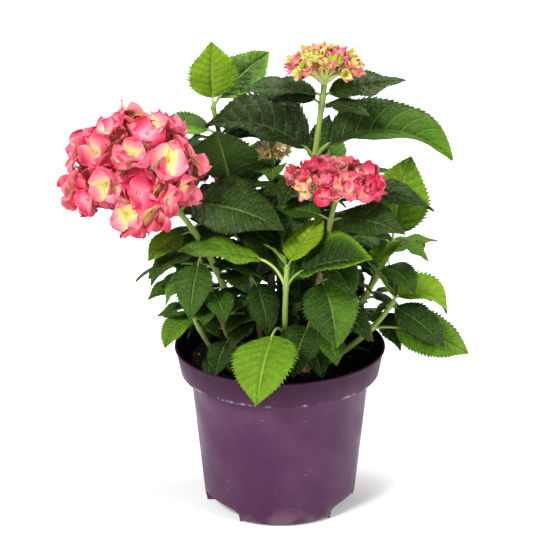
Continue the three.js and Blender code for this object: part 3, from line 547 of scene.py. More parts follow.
SHOOTS = [
    new_shoot("left", 11, (-38, -8), (-52, -10, 268), (-108, -30, 345), (4.4, 2.9), 86, [
        pair(0.97,
             leaf(-19, 107, 8, 36, "grey", stalk=16, steeper=40, roll=-30, wide=0.68),
             leaf(146, 128, 10, 24, "grey", stalk=20, steeper=-6, roll=10, wide=0.46)),
        pair(0.84,
             leaf(-144, 49, -6, 40, "fresh", stalk=14, steeper=0, roll=20),
             leaf(64, 60, 4, 50, "mid")),
        ruled(0.7, 110),
        ruled(0.56, -160),
        ruled(0.42, -70),
    ]),
    new_shoot("top", 23, (12, 10), (26, 14, 300), (45, 0, 462), (4.6, 2.9), 92, [
        pair(0.985,
             leaf(8, 82, 13, 10, "grey", stalk=8, steeper=20, roll=-18, wide=0.56),
             leaf(192, 82, 17, 24, "grey", stalk=8, steeper=20, roll=6, wide=0.54)),
        pair(0.955,
             leaf(-37, 54, 10, 30, "grey", stalk=8, steeper=20, roll=-8),
             leaf(160, 70, 30, 40, "dark", stalk=10, steeper=20, roll=20)),
        pair(0.77,
             leaf(-8, 143, 34, 78, "arch", stalk=22, steeper=16, roll=-22, wide=0.56, fold=36),
             leaf(180, 114, 38, 56, "quilted", stalk=16, steeper=14, roll=24, wide=0.78, fold=32)),
        pair(0.72,
             leaf(65, 57, 56, 20, "dark", stalk=14, wide=0.5),
             leaf(-125, 56, 4, 40, "dark", stalk=12)),
        pair(0.66,
             leaf(30, 62, 30, 60, "dark", stalk=14, roll=-12),
             leaf(206, 52, 24, 40, "dark")),
        pair(0.6,
             leaf(-9, 123, 20, 46, "dark", stalk=24, steeper=20, roll=-8, wide=0.4),
             leaf(150, 76, 16, 50, "mid")),
        ruled(0.52, 100),
        ruled(0.42, 10),
    ]),
    new_shoot("middle", 37, (26, -22), (40, -34, 262), (54, -42, 342), (4.2, 2.7), 84, [
        pair(0.96,
             leaf(-34, 80, 14, 32, "dark", stalk=12, steeper=10, roll=-24),
             leaf(182, 68, 26, 30, "mid", stalk=12, steeper=10, roll=14)),
        ruled(0.8, 84),
        pair(0.5,
             leaf(-71, 78, -18, 76, "twotone", stalk=20, steeper=60, wide=0.74, fold=8),
             leaf(110, 76, 10, 50, "mid")),
        pair(0.4,
             leaf(-18, 62, -12, 40, "mid", stalk=14, steeper=10, roll=-10),
             leaf(165, 66, 4, 50, "dark")),
        pair(0.28,
             leaf(-66, 44, -12, 60, "mid", stalk=32, steeper=20, wide=0.7),
             leaf(110, 60, 6, 40, "dark")),
    ]),
    new_shoot("front", 41, (6, -8), (4, -50, 212), (7, -62, 292), (3.9, 2.6), 80, [
        pair(1,
             leaf(40, 60, 52, 6, "sunlit", stalk=8, steeper=4, roll=0, wide=0.9, fold=24),
             leaf(200, 34, 60, 30, "lime", stalk=5, steeper=10)),
        pair(0.84,
             leaf(-26, 84, 30, 24, "rimmed", stalk=28, steeper=20, roll=-24, wide=0.86, fold=30),
             leaf(197, 91, 22, 20, "turning", stalk=44, steeper=30, roll=6, wide=0.6)),
        pair(0.4,
             leaf(-107, 80, -25, 40, "bright", stalk=50, steeper=46, wide=0.9, fold=10),
             leaf(73, 62, 12, 40, "mid")),
    ]),
    new_shoot("right_low", 53, (38, -12), (98, -22, 196), (122, -22, 240), (3.8, 2.5), 66, [
        pair(1,
             leaf(189, 50, 60, 10, "fresh", stalk=8, steeper=10, wide=0.86),
             leaf(9, 66, 22, 90, "lime", stalk=6, steeper=20, roll=-20, wide=0.84, fold=32)),
        pair(0.93,
             leaf(-31, 69, -16, 26, "slate", stalk=6, steeper=10, roll=-26, wide=0.56),
             leaf(146, 38, -30, 30, "pale", stalk=6, steeper=0, roll=20, wide=0.7)),
        pair(0.62,
             leaf(-8, 84, -5, 26, "fresh", stalk=26, steeper=10, roll=-34, wide=0.72),
             leaf(165, 56, 6, 50, "mid")),
    ]),
    new_shoot("right_tall", 59, (50, 16), (98, 6, 236), (122, -6, 302), (4, 2.6), 74, [
        pair(1,
             leaf(-122, 43, -5, 20, "grey_lime", stalk=8, steeper=10, roll=-20, wide=0.84),
             leaf(-34, 36, -14, 30, "fresh", stalk=8, steeper=10, wide=0.96)),
        pair(0.95,
             leaf(53, 85, 80, 24, "bright", stalk=14, steeper=0, wide=0.84),
             leaf(200, 60, 30, 60, "mid")),
        pair(0.84,
             leaf(52, 44, -62, 24, "dark", stalk=12, steeper=10, wide=0.5),
             leaf(150, 70, 26, 50, "mid")),
        ruled(0.66, -60),
        ruled(0.48, 30),
    ]),
    new_shoot("back_left", 67, (-26, 30), (-42, 46, 300), (-71, 34, 438), (4.2, 2.6), 88, [
        pair(1,
             leaf(105, 60, 84, -6, "lime", stalk=10, steeper=0, wide=0.92),
             leaf(30, 98, 42, 14, "spring", stalk=14, steeper=10, roll=-30, wide=0.5, fold=20)),
        pair(0.88,
             leaf(200, 70, 38, 66, "lime_edge", stalk=14, steeper=10, roll=16),
             leaf(20, 76, 20, 40, "mid")),
        pair(0.66,
             leaf(-105, 84, 62, 16, "backlit", stalk=14, steeper=10, wide=0.84),
             leaf(45, 80, 24, 40, "dark")),
        ruled(0.52, 150),
        ruled(0.38, 60),
        ruled(0.27, 160),
    ]),
    new_shoot("left_side", 73, (-34, -30), (-64, -46, 222), (-84, -50, 296), (3.5, 2.3), 58, [
        pair(1,
             leaf(-102, 63, -27, 50, "veined", stalk=6, steeper=0),
             leaf(70, 50, 20, 50, "mid")),
        pair(0.92,
             leaf(190, 51, -18, 60, "underlime", stalk=8, steeper=10, roll=10),
             leaf(4, 60, 6, 50, "dark")),
        ruled(0.76, -96),
        ruled(0.56, 0),
        ruled(0.4, -80),
    ]),
    new_shoot("left_low", 71, (-52, -22), (-80, -28, 190), (-92, -34, 226), (3.3, 2.2), 48, [
        pair(0.97,
             leaf(-128, 48, 8, 76, "fresh", stalk=10, steeper=10, wide=0.72),
             leaf(-46, 40, 14, 50, "slate", stalk=8, steeper=0)),
        ruled(0.8, 160),
    ]),
    new_shoot("front_inner", 75, (-14, -18), (-24, -30, 215), (-30, -36, 272), (3.5, 2.3), 62, [
        pair(1,
             leaf(-30, 58, -30, 44, "dark", stalk=10, steeper=10),
             leaf(150, 56, 10, 50, "dark")),
        ruled(0.76, 60),
        pair(0.56,
             leaf(-150, 56, -2, 50, "dark", stalk=10, steeper=10),
             leaf(-10, 62, 2, 44, "dark", stalk=10, steeper=10)),
    ]),
    new_shoot("dried", 79, (-8, 34), (-10, 52, 280), (-8, 44, 372), (4.4, 2.4), 82, [
        ruled(0.93, 100),
        ruled(0.79, 12),
        ruled(0.64, 110),
        ruled(0.48, 20),
    ]),
    new_shoot("back", 83, (-42, 42), (-72, 84, 250), (-100, 96, 322), (4.2, 2.7), 84, [
        ruled(0.95, 60),
        ruled(0.82, 150),
        ruled(0.66, 70),
        ruled(0.46, 150),
    ]),
    new_shoot("back_right", 89, (34, 46), (50, 84, 270), (62, 96, 340), (4.2, 2.6), 86, [
        pair(1,
             leaf(110, 60, 50, 40, "fresh"),
             leaf(290, 50, 44, 40, "fresh")),
        ruled(0.87, 30),
        ruled(0.72, 115),
        ruled(0.56, 20),
    ]),
    new_shoot("back_low", 97, (6, 62), (2, 104, 210), (-8, 120, 262), (3.8, 2.4), 74, [
        pair(1,
             leaf(50, 62, 30, 40, "mid"),
             leaf(200, 56, 34, 40, "fresh")),
        ruled(0.8, 150),
        ruled(0.56, 60),
    ]),
    new_shoot("back_left_low", 101, (-52, 26), (-82, 52, 196), (-90, 64, 246), (3.6, 2.3), 68, [
        pair(1,
             leaf(130, 54, 26, 50, "mid"),
             leaf(300, 46, 26, 50, "fresh")),
        ruled(0.8, 50),
        ruled(0.58, 120),
    ]),
    new_shoot("back_right_low", 103, (62, 44), (96, 68, 200), (112, 78, 250), (3.6, 2.3), 70, [
        pair(1,
             leaf(10, 60, 30, 40, "fresh"),
             leaf(190, 54, 34, 40, "mid")),
        ruled(0.8, 95),
        ruled(0.58, 10),
        ruled(0.4, 100),
    ]),
]

# A bloom's dome stands off its shoot's tip: its middle, the way that it faces, its radius
# across and along that way, how far its florets wrap round it, in degrees, how many there are
# and how large. A gap leaves out the florets within some degrees of a direction.
BLOOMS = {
    "left": {"seed": 5, "middle": (-151, -48, 388), "face": (-0.35, -0.6, 0.72), "across": 62,
             "along": 56, "wrap": 140, "florets": 27, "floret": 23,
             "gap": ((-0.45, -0.35, -0.82), 27)},
    "top": {"seed": 7, "middle": (46, 0, 488), "face": (0.02, -0.1, 1), "across": 38,
            "along": 19, "wrap": 92, "florets": 20, "floret": 9.5},
    "middle": {"seed": 9, "middle": (59, -52, 377), "face": (0.05, -0.1, 1), "across": 47,
               "along": 18, "wrap": 84, "florets": 14, "floret": 15},
    "dried": {"seed": 13, "middle": (-8, 42, 388), "face": (0, -0.2, 1), "across": 17,
              "along": 12, "wrap": 100, "florets": 6, "floret": 7},
    "back": {"seed": 17, "middle": (-108, 101, 344), "face": (-0.2, 0.35, 1), "across": 42,
             "along": 28, "wrap": 104, "florets": 14, "floret": 17},
}
UP = np.array([0.0, 0.0, 1.0])


def seeded(seed):
    """The same draws from the same seed, between 0 and 1."""
    state = seed
    while True:
        state = (state * 1664525 + 1013904223) % 2 ** 32
        yield state / 2 ** 32


def bent(start, knee, end, share):
    """Points at shares of the way along a line from start to end that a knee pulls aside."""
    return (1 - share) ** 2 * start + 2 * share * (1 - share) * knee + share ** 2 * end


def point_on(shoot, share):
    return bent(shoot["foot"], shoot["knee"], shoot["tip"], np.asarray(share, float)[..., None])


def heading(shoot, share):
    way = 2 * (1 - share) * (shoot["knee"] - shoot["foot"]) + 2 * share * (shoot["tip"] - shoot["knee"])
    return way / np.linalg.norm(way)


def evenly_along(shoot, count):
    """Points at even steps of length along a shoot."""
    shares = np.linspace(0, 1, 201)
    path = point_on(shoot, shares)
    run = np.concatenate([[0], np.cumsum(np.linalg.norm(np.diff(path, axis=0), axis=1))])
    return point_on(shoot, np.interp(np.linspace(0, run[-1], count + 1), run, shares))


def ruled_sizes(shoot, at, draw):
    d1, d2, d3, d4 = next(draw), next(draw), next(draw), next(draw)
    lengthwise = RULED["short"] + RULED["longer"] * sin(pi * at)
    return {"long": shoot["long"] * lengthwise * (RULED["least"] + RULED["vary"] * d1),
            "rise": RULED["rise"] + RULED["higher"] * at + RULED["tilt"] * (d2 - 0.5),
            "droop": RULED["droop"] + RULED["more_droop"] * d3, "roll": RULED["roll"] * (d4 - 0.5)}


def outline(share):
    """How wide the blade is along its midrib, as a share of its greatest width."""
    share = np.clip(share, 0, 1)
    oval = np.clip(np.sin(pi * share ** BLADE["base"]), 0, 1) ** BLADE["round"]
    return oval * (1 - BLADE["taper"] * share ** 3)


def midrib(sizes, share):
    """How far out, how far up and how steep the midrib is: -1 to 0 is the stalk, 0 to 1 the blade."""
    rise, climb = radians(sizes["rise"]), radians(sizes["rise"] + sizes["steeper"])
    droop, stalk, long = radians(sizes["droop"]), sizes["stalk"], sizes["long"]
    base = (stalk * cos(climb), stalk * sin(climb))
    slope = rise - droop * share
    blade = (base[0] + long * (sin(rise) - np.sin(slope)) / droop,
             base[1] + long * (np.cos(slope) - cos(rise)) / droop)
    run = share + 1
    bend = (STALK["bend"] * stalk * cos(rise), STALK["bend"] * stalk * sin(rise))
    below = [2 * run * (1 - run) * (b - c) + run * run * b for b, c in zip(base, bend)]
    on_blade = share >= 0
    return (np.where(on_blade, blade[0], below[0]), np.where(on_blade, blade[1], below[1]),
            np.where(on_blade, slope, climb + (rise - climb) * run))


def surface(leaf, share, across):
    """Points and normals of a leaf, from its root, -1, to its tip, 1, and from edge to edge."""
    share, across = np.broadcast_arrays(np.asarray(share, float), np.asarray(across, float))
    sizes, turn, roll = leaf["sizes"], radians(leaf["sizes"]["turn"]), radians(leaf["sizes"]["roll"])
    fold, long = radians(sizes["fold"]), sizes["long"]
    out, right = np.array([cos(turn), sin(turn), 0]), np.array([sin(turn), -cos(turn), 0])
    away, rise, slope = (part[..., None] for part in midrib(sizes, share))
    flat_up = -np.sin(slope) * out + np.cos(slope) * UP
    side = right * cos(roll) + flat_up * sin(roll)
    normal = flat_up * cos(roll) - right * sin(roll)
    blade = np.where(share > 0, long * sizes["wide"] * outline(share) / 2, 0)
    half = np.maximum(blade, STALK["thick"] * long * np.minimum(1, 1 - share))
    lift = blade * (np.abs(across) * sin(fold) - BLADE["sag"] * across ** 2)
    flat = (half * across * np.where(blade > 0, cos(fold), 1))[..., None]
    return leaf["node"] + out * away + UP * rise + side * flat + normal * lift[..., None], normal


def samples_of(leaf):
    """Points spread over a leaf, two of them on its stalk."""
    rows, columns = np.arange(1, 15)[:, None] / 14, np.arange(-4, 5)[None, :] / 4
    return np.concatenate([surface(leaf, [-0.4, 0], 0)[0], surface(leaf, rows, columns)[0].reshape(-1, 3)])


def near(spots, others, reach):
    gaps = spots[:, None, :] - others[None, :, :]
    return bool(len(spots)) and bool(((gaps ** 2).sum(-1) < reach * reach).any())


def boxes_meet(spots, others, reach):
    below, above = spots.min(0) - reach, spots.max(0) + reach
    return bool((below <= others.max(0)).all() and (above >= others.min(0)).all())


def inside_pot(p):
    out = np.hypot(p[:, 0], p[:, 1])
    near_pot = (out <= POT["rim"] + CLEAR["rim"]) & (p[:, 2] <= POT["height"] + CLEAR["rim"])
    in_wall = (out > POT["band_radius"] - CLEAR["rim"]) | (p[:, 2] < SOIL["top"] + CLEAR["rim"])
    return bool((near_pot & in_wall).any())


def bloom_frame(bloom):
    """The way that a bloom faces, two ways across it, and its middle."""
    along = np.array(bloom["face"], float) / np.linalg.norm(bloom["face"])
    first = np.cross(along, (0, 1, 0))
    first /= np.linalg.norm(first)
    return along, first, np.cross(along, first), np.array(bloom["middle"], float)


def inside_bloom(p, bloom):
    along, _, _, middle = bloom_frame(bloom)
    away = p - middle
    high = away @ along
    flat = np.sqrt(np.maximum(0, (away ** 2).sum(1) - high ** 2))
    reach = CLEAR["bloom"] + 0.3 * bloom["floret"]
    within = (flat / (bloom["across"] + reach)) ** 2 + (high / (bloom["along"] + reach)) ** 2 < 1
    lowest = bloom["along"] * cos(radians(bloom["wrap"])) - bloom["floret"] * 0.5
    return bool((within & (high >= lowest)).any())


def placed_leaf(wish, grown, clear):
    """The leaf, swerved and then shrunk until it touches nothing, or None."""
    for shrink in SHRINKS:
        for aside, tilt in SWERVES:
            sizes = dict(wish["sizes"])
            sizes.update(turn=sizes["turn"] + aside, rise=sizes["rise"] + tilt, long=sizes["long"] * shrink)
            tried = {**wish, "sizes": sizes}
            spots = samples_of(tried)
            if inside_pot(spots) or any(inside_bloom(spots, b) for b in BLOOMS.values()):
                continue
            beyond = spots[np.linalg.norm(spots - wish["node"], axis=1) > CLEAR["own_stem"]]
            if any(boxes_meet(spots, o["spots"], clear)
                   and near(beyond if o["node"] is wish["node"] else spots, o["spots"], clear)
                   for o in grown):
                continue
            if any(boxes_meet(spots, s["spots"], CLEAR["leaf"])
                   and near(beyond if s["shoot"] is wish["shoot"] else spots, s["spots"], CLEAR["stem"])
                   for s in limbs):
                continue
            tried["spots"] = spots
            return tried
    return None


def wished_leaf(shoot, node, at, sizes, ruled, tone):
    """What a leaf would be like with nothing in its way."""
    sizes = {"stalk": STALK["long"] * sizes["long"], "steeper": STALK["steeper"], "wide": BLADE["wide"],
             "fold": BLADE["fold"], **sizes}
    return {"shoot": shoot, "node": node, "sizes": sizes, "at": at, "ruled": ruled, "tone": tone}


def grow_leaves():
    """The leaves of the table: first those with sizes of their own, then the ruled ones."""
    wishes = []
    for shoot in SHOOTS:
        draw = seeded(shoot["seed"])
        for pair in shoot["pairs"]:
            node = point_on(shoot, pair["at"])
            for own in pair["own"]:
                sizes = {**ruled_sizes(shoot, pair["at"], draw), **own}
                wishes.append(wished_leaf(shoot, node, pair["at"], sizes, pair["ruled"], own.get("tone")))
    grown = []
    for wish in sorted(wishes, key=lambda wish: wish["ruled"]):
        placed = placed_leaf(wish, grown, CLEAR["leaf"])
        if placed:
            grown.append(placed)
    return grown


def grow_inner_leaves(grown):
    """Smaller leaves by the same rule, on the joints between, in the room left inside the crown."""
    found = []
    for shoot in SHOOTS:
        first, last = INNER["reach"].get(shoot["name"], INNER["reach"]["others"])
        draw = seeded(shoot["seed"] + INNER["seed"])
        length = np.linalg.norm(np.diff(evenly_along(shoot, LIMB_STEPS), axis=0), axis=1).sum()
        for i, at in enumerate(np.arange(first, last, INNER["apart"] / length)):
            node = point_on(shoot, at)
            turn = shoot["pairs"][0]["own"][0]["turn"] + INNER["turn"] * i
            for aside in (0, 180):
                sizes = ruled_sizes(shoot, at, draw)
                sizes["turn"] = turn + aside + INNER["stray"] * (next(draw) - 0.5)
                sizes["long"] *= INNER["size"]
                wish = wished_leaf(shoot, node, at, sizes, True, "inner")
                placed = placed_leaf(wish, grown + found, INNER["clear"])
                if placed:
                    found.append(placed)
    return found


# the small inner leaves: how far apart their joints are, how each pair is turned on from the
# one below, and where along each shoot they grow, as shares of its way
INNER = {"apart": 24, "turn": 83, "stray": 40, "size": 0.8, "clear": 3.0, "seed": 500, "reach": {
    "others": (0.16, 0.9), "front": (0.14, 0.3), "right_low": (0.3, 0.5), "left": (0.3, 0.7),
    "top": (0.24, 0.66), "middle": (0.16, 0.8), "left_low": (0.3, 0.5), "left_side": (0.34, 0.7),
    "front_inner": (0.36, 0.9), "right_tall": (0.3, 0.9)}}
limbs = [{"shoot": shoot, "spots": evenly_along(shoot, LIMB_STEPS)} for shoot in SHOOTS]
leaves = grow_leaves()
leaves += grow_inner_leaves(leaves)

# ------------------------------------------------------------ stems
# The shoots themselves, from the flat of the soil to their tips: green and faintly ribbed
# where they are young, brown and woody towards the foot, with a swollen joint at each pair of
# leaves and small corky dots between.

STEM = {"sunk": 5.0, "swell": 0.45, "fade": 9, "joint": 0.26, "joint_long": 3.0, "steps": 64, "sides": 14}
WOODY = {"left": 0.6, "top": 0.32, "middle": 0.85, "front": 0.06, "right_low": 0.2, "right_tall": 0.5,
         "back_left": 0.6, "left_side": 0.95, "left_low": 0.7, "front_inner": 0.85, "dried": 1.0,
         "others": 0.8}
BARK = {"green": (0.22, 0.36, 0.060, 1), "pale": (0.34, 0.47, 0.080, 1), "wood": (0.30, 0.19, 0.085, 1),
        "dark": (0.11, 0.060, 0.028, 1)}


def tube_tree():
    """Turns lines of points into closed round tubes by the radius stored on their points."""
    tree, given, result = new_tree("tubes on lines", Sides=("Int", 12), Material=("Material", None))
    line = add_node(tree, "GeometryNodeMeshToCurve", Mesh=given.outputs["Geometry"])
    radius = add_node(tree, "GeometryNodeInputNamedAttribute", {"data_type": "FLOAT"}, Name="radius")
    upright = add_node(tree, "GeometryNodeSetCurveNormal", {"mode": "MINIMUM_TWIST"}, _0=line.outputs[0])
    ring = add_node(tree, "GeometryNodeCurvePrimitiveCircle", Resolution=given.outputs["Sides"], Radius=1.0)
    tube = add_node(tree, "GeometryNodeCurveToMesh", Curve=upright.outputs[0], Scale=radius.outputs[0],
                    Profile_Curve=ring.outputs[0], Fill_Caps=True)
    soft = add_node(tree, "GeometryNodeSetShadeSmooth", Geometry=tube.outputs[0], Shade_Smooth=True)
    whole = add_node(tree, "GeometryNodeRealizeInstances", Geometry=soft.outputs[0])
    dressed(tree, given, result, whole.outputs[0])
    return tree


tubes = tube_tree()


def grow_tubes(name, lines, sides, material):
    """One piece of tubes. A line holds its points and radii in millimetres, and other numbers."""
    points, edges, numbers = [], [], {key: [] for key in lines[0] if key != "points"}
    for line in lines:
        count = len(line["points"])
        edges += [(len(points) + i, len(points) + i + 1) for i in range(count - 1)]
        points += [tuple(p) for p in np.asarray(line["points"]) * MM]
        for key, values in numbers.items():
            scale = MM if key == "radius" else 1
            values += list(np.broadcast_to(np.asarray(line[key], float) * scale, count))
    made = new_object(name, points, edges, [], **numbers)
    run_tree(made, tubes, Sides=sides, Material=material)
    return made


bark, tree, shader = new_material("shoot bark")
place = add_node(tree, "ShaderNodeTexCoord").outputs["Object"]
streaks = add_node(tree, "ShaderNodeMapping", Vector=place, Scale=(900.0, 900.0, 60.0)).outputs["Vector"]
streak = grain(tree, 1.0, 3.0, 0.6, place=streaks)
green = blend(tree, stretch(tree, streak, 0.35, 0.7), BARK["green"], BARK["pale"])
brown = blend(tree, stretch(tree, streak, 0.3, 0.7), BARK["dark"], BARK["wood"])
wood = plus(tree, stored(tree, "wood"), times(tree, grain(tree, 60.0, 3.0), 0.3))
tone = blend(tree, stretch(tree, wood, 0.45, 0.85), green, brown)
dots = stretch(tree, grain(tree, 480.0, kind="ShaderNodeTexVoronoi"), 0.20, 0.10)
tone = blend(tree, times(tree, dots, 0.5), tone, BARK["wood"])
finish_with(tree, shader, Base_Color=tone, Roughness=stretch(tree, wood, 0.3, 1.0, 0.42, 0.85),
            Normal=bumped(tree, plus(tree, streak, dots), 0.0004, 0.7))

lines = []
for limb in SHOOTS:
    shares = np.linspace(0, 1, STEM["steps"])
    path = point_on(limb, shares)
    run = np.concatenate([[0], np.cumsum(np.linalg.norm(np.diff(path, axis=0), axis=1))])
    radius = limb["thick"][0] + (limb["thick"][1] - limb["thick"][0]) * shares
    radius = radius * (1 + STEM["swell"] * np.exp(-shares * STEM["fade"]))
    for joint in limb["pairs"]:
        away = (run - np.interp(joint["at"], shares, run)) / STEM["joint_long"]
        radius = radius * (1 + STEM["joint"] * np.exp(-away ** 2))
    ripe = WOODY.get(limb["name"], WOODY["others"])
    below = path[0] - heading(limb, 0) * STEM["sunk"]
    # the wood gives way to green higher up, the sooner the younger the shoot is
    lines.append({"points": np.vstack([below, path]), "radius": np.concatenate([radius[:1], radius]),
                  "wood": np.concatenate([[ripe], ripe * 1.15 - 1.3 * (1 - 0.6 * ripe) * shares + 0.1])})
stems = grow_tubes("stems", lines, STEM["sides"], bark)
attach(stems, "root")
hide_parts(*[f"stem_{limb['name']}" for limb in SHOOTS])

# ------------------------------------------------------------ leaves
# Opposite pairs of broad oval leaves, toothed along their edges, on short thick stalks that run on as the
# midrib.
# The blade bulges up between its sunken side veins, with painted shade in its hollows. Old leaves are dark
# green with a greyish bloom and a painted sheen on its crests, young ones bright green to lime. Undersides
# are paler and matt.

# the teeth of one edge: at least so many, one more to so many millimetres of leaf, and on leaves
# longer than full they stay as proud as on that
TEETH = {"least": 9, "per": 7.2, "start": 0.05, "end": 0.965, "proud": 0.165, "forward": 0.55, "full": 75}
POINT = 0.34  # how much narrower the drawn-out tip is than the plain oval's
VEINS = {"pairs": 9, "forward": 0.17, "bulge": 0.030, "groove": 0.016}
HALF = [0.07, 0.2, 0.36, 0.52, 0.68, 0.82, 0.93, 1]
COLUMNS = np.array([-u for u in reversed(HALF)] + [0] + HALF)
SKIN = {"edge": 0.35, "middle": 0.75, "seed": 900}
RIPPLE = {"edge": 0.032, "twist": 0.05}
# how young a leaf is at its base and at its tip, from dark to lime, and how grey its bloom and painted sheen
# are
TONES = {
    "lime": (0.88, 0.94, 0.0), "bright": (0.70, 0.82, 0.0), "fresh": (0.60, 0.68, 0.04),
    "mid": (0.40, 0.46, 0.10), "dark": (0.16, 0.22, 0.12), "grey": (0.16, 0.22, 0.62),
    "arch": (0.14, 0.62, 0.03), "quilted": (0.02, 0.07, 0.17), "twotone": (0.32, 0.54, 0.05),
    "turning": (0.95, 0.42, 0.60), "slate": (0.16, 0.24, 0.40), "pale": (0.62, 0.68, 0.40),
    "grey_lime": (0.70, 0.78, 0.12), "lime_edge": (0.36, 0.86, 0.0), "backlit": (0.15, 0.27, 0.0),
    "veined": (0.30, 0.36, 0.45), "underlime": (0.46, 0.60, 0.30), "rimmed": (0.10, 0.86, 0.0),
    "spring": (0.44, 0.80, 0.0), "sunlit": (0.98, 1.0, 0.0),
}
# how strongly a leaf bulges between its veins, against the others' 1
QUILT = {"quilted": 2.1, "grey": 1.5, "dark": 1.3, "lime": 0.7, "arch": 0.6}
GREEN = [(0.0, (0.004, 0.011, 0.002, 1)), (0.2, (0.012, 0.034, 0.003, 1)), (0.42, (0.034, 0.098, 0.007, 1)),
         (0.68, (0.088, 0.225, 0.007, 1)), (0.88, (0.195, 0.335, 0.008, 1)), (1.0, (0.29, 0.42, 0.016, 1))]
# the grey of the bloom and of its painted sheen
BLOOM_AND_SHEEN_GREY = (0.155, 0.215, 0.070, 1)
VEIN = (0.17, 0.27, 0.09, 1)
UNDER = (0.12, 0.19, 0.055, 1)
LEAF_GRAIN = {"net": 300.0, "puckers": 185.0, "blotches": 55.0, "rubbed": 150.0, "gloss": 120.0}


def closed_sheet(high, wide, turned=False):
    """Faces of a thin closed sheet whose upper points come first, in rows, and then its lower ones."""
    at = np.arange(high * wide).reshape(high, wide)
    a, b, c, d = at[:-1, :-1], at[:-1, 1:], at[1:, 1:], at[1:, :-1]
    upper = np.stack([a, d, c, b] if turned else [a, b, c, d], -1).reshape(-1, 4)
    rim = np.concatenate([at[0, :-1], at[:-1, -1], at[-1, :0:-1], at[:0:-1, 0]])
    onward = np.roll(rim, -1)
    first, second = (rim, onward) if turned else (onward, rim)
    walls = np.stack([first, second, second + high * wide, first + high * wide], -1)
    return np.concatenate([upper, upper[:, ::-1] + high * wide, walls])


def blade_skin(leaf, number):
    """The closed skin of one toothed, quilted blade, with the numbers that its colours read."""
    long = leaf["sizes"]["long"]
    draw = np.random.default_rng(SKIN["seed"] + number)
    teeth = int(TEETH["least"] + long / TEETH["per"])
    step = (TEETH["end"] - TEETH["start"]) / teeth
    valleys = TEETH["start"] + step * np.arange(teeth)
    rows = np.concatenate([[0, 0.012, 0.03], np.column_stack([valleys, valleys + 0.66 * step]).ravel(),
                           [TEETH["end"], 0.984, 0.997]])
    tooth = np.concatenate([[0, 0, 0], np.tile([0.0, 1.0], teeth), [0, 0, 0]])
    tooth *= np.repeat(draw.uniform(0.7, 1.25, len(rows) // 2 + 1), 2)[:len(rows)]
    share, across = rows[:, None], (COLUMNS[::2] if leaf["tone"] == "inner" else COLUMNS)[None, :]
    edge = np.abs(across) ** 6
    share = share + edge * tooth[:, None] * TEETH["forward"] * step
    points, normal = surface(leaf, share, across)
    middle = surface(leaf, share, across * 0)[0]
    proud = edge * tooth[:, None] * TEETH["proud"] * min(1, TEETH["full"] / long)
    # the teeth stand out, and the tip is drawn out to a point
    points = middle + (points - middle) * ((1 + proud) * (1 - POINT * np.clip(share, 0, 1) ** 7))[..., None]
    # side veins run outwards and forwards; the blade bulges between them
    phase = VEINS["pairs"] * (share - VEINS["forward"] * np.abs(across) ** 1.2)
    quilt = QUILT.get(leaf["tone"], 1.0) * draw.uniform(0.85, 1.15)
    room = np.clip(outline(share) * 1.6, 0, 1) * np.clip(np.abs(across) / 0.14, 0, 1)
    bulge = (np.abs(np.sin(pi * phase)) ** 0.6 - 0.6) * room * (1 - 0.7 * np.abs(across) ** 4)
    sway, beat, twist = draw.uniform(0, 2 * pi, 2), draw.uniform(1.1, 2.6), draw.uniform(-1, 1)
    wave = np.sin(2 * pi * beat * share + np.where(across < 0, sway[0], sway[1]))
    lift = long * (quilt * VEINS["bulge"] * bulge - VEINS["groove"] * np.exp(-(across / 0.06) ** 2)
                   + RIPPLE["edge"] * np.abs(across) ** 2.2 * wave * np.clip(4 * share * (1 - share), 0, 1)
                   + RIPPLE["twist"] * twist * across * share ** 2 * outline(share))
    points = points + normal * lift[..., None]
    vein = np.clip(1 - np.abs(np.sin(pi * phase)) / 0.35, 0, 1) * room
    thick = SKIN["edge"] + (SKIN["middle"] - SKIN["edge"]) * (1 - edge) * (0.4 + 0.6 * vein)
    below = points - normal * thick[..., None]
    # young tissue lies towards the tip, or on one half, one side or round the rim
    base, tip, dust_and_sheen = leaf["tones"]
    young = np.clip(share * 1.1, 0, 1)
    if leaf["tone"] == "twotone":
        young = np.where(across < 0, 1, 0)
    if leaf["tone"] == "lime_edge":
        young = np.clip(-across + 0.2, 0, 1)
    if leaf["tone"] in ("rimmed", "spring"):
        young = np.clip(np.abs(across) ** 3 + share ** 6, 0, 1)
    youth = base + (tip - base) * young
    # the crests of the bulges carry the grey bloom, partly real and partly a painted sheen
    crest = np.clip(np.abs(np.sin(pi * phase)) ** 1.2 * np.clip(np.abs(across) / 0.2, 0, 1), 0, 1)
    high, wide = points.shape[:2]
    numbers = {}
    for key, value in (("youth", youth), ("dust_and_sheen", dust_and_sheen * crest), ("crest", crest), ("across", across),
                       ("along", share)):
        numbers[key] = np.tile(np.broadcast_to(value, (high, wide)).ravel(), 2)
    numbers["under"] = np.repeat([0.0, 1.0], high * wide)
    return np.concatenate([points.reshape(-1, 3), below.reshape(-1, 3)]), closed_sheet(high, wide), numbers


def join_skins(name, skins, material):
    """One piece of many blades."""
    points, faces, count = [], [], 0
    for skin in skins:
        points.append(skin[0])
        faces.append(skin[1] + count)
        count += len(skin[0])
    numbers = {key: np.concatenate([skin[2][key] for skin in skins]) for key in skins[0][2]}
    return new_piece(name, np.concatenate(points) * MM, np.concatenate(faces).tolist(), material, **numbers)


def ramped(tree, value, stops):
    """The colour of a ramp at a value."""
    made = add_node(tree, "ShaderNodeValToRGB", Fac=value)
    ramp = made.color_ramp
    while len(ramp.elements) < len(stops):
        ramp.elements.new(0.5)
    for element, (at, colour) in zip(ramp.elements, stops):
        element.position, element.color = at, colour
    return made.outputs["Color"]


foliage, tree, shader = new_material("leaf skin", Specular_IOR_Level=0.15,
                                     Specular_Tint=(0.95, 1.0, 0.62, 1.0))
across = maths(tree, "ABSOLUTE", stored(tree, "across"))
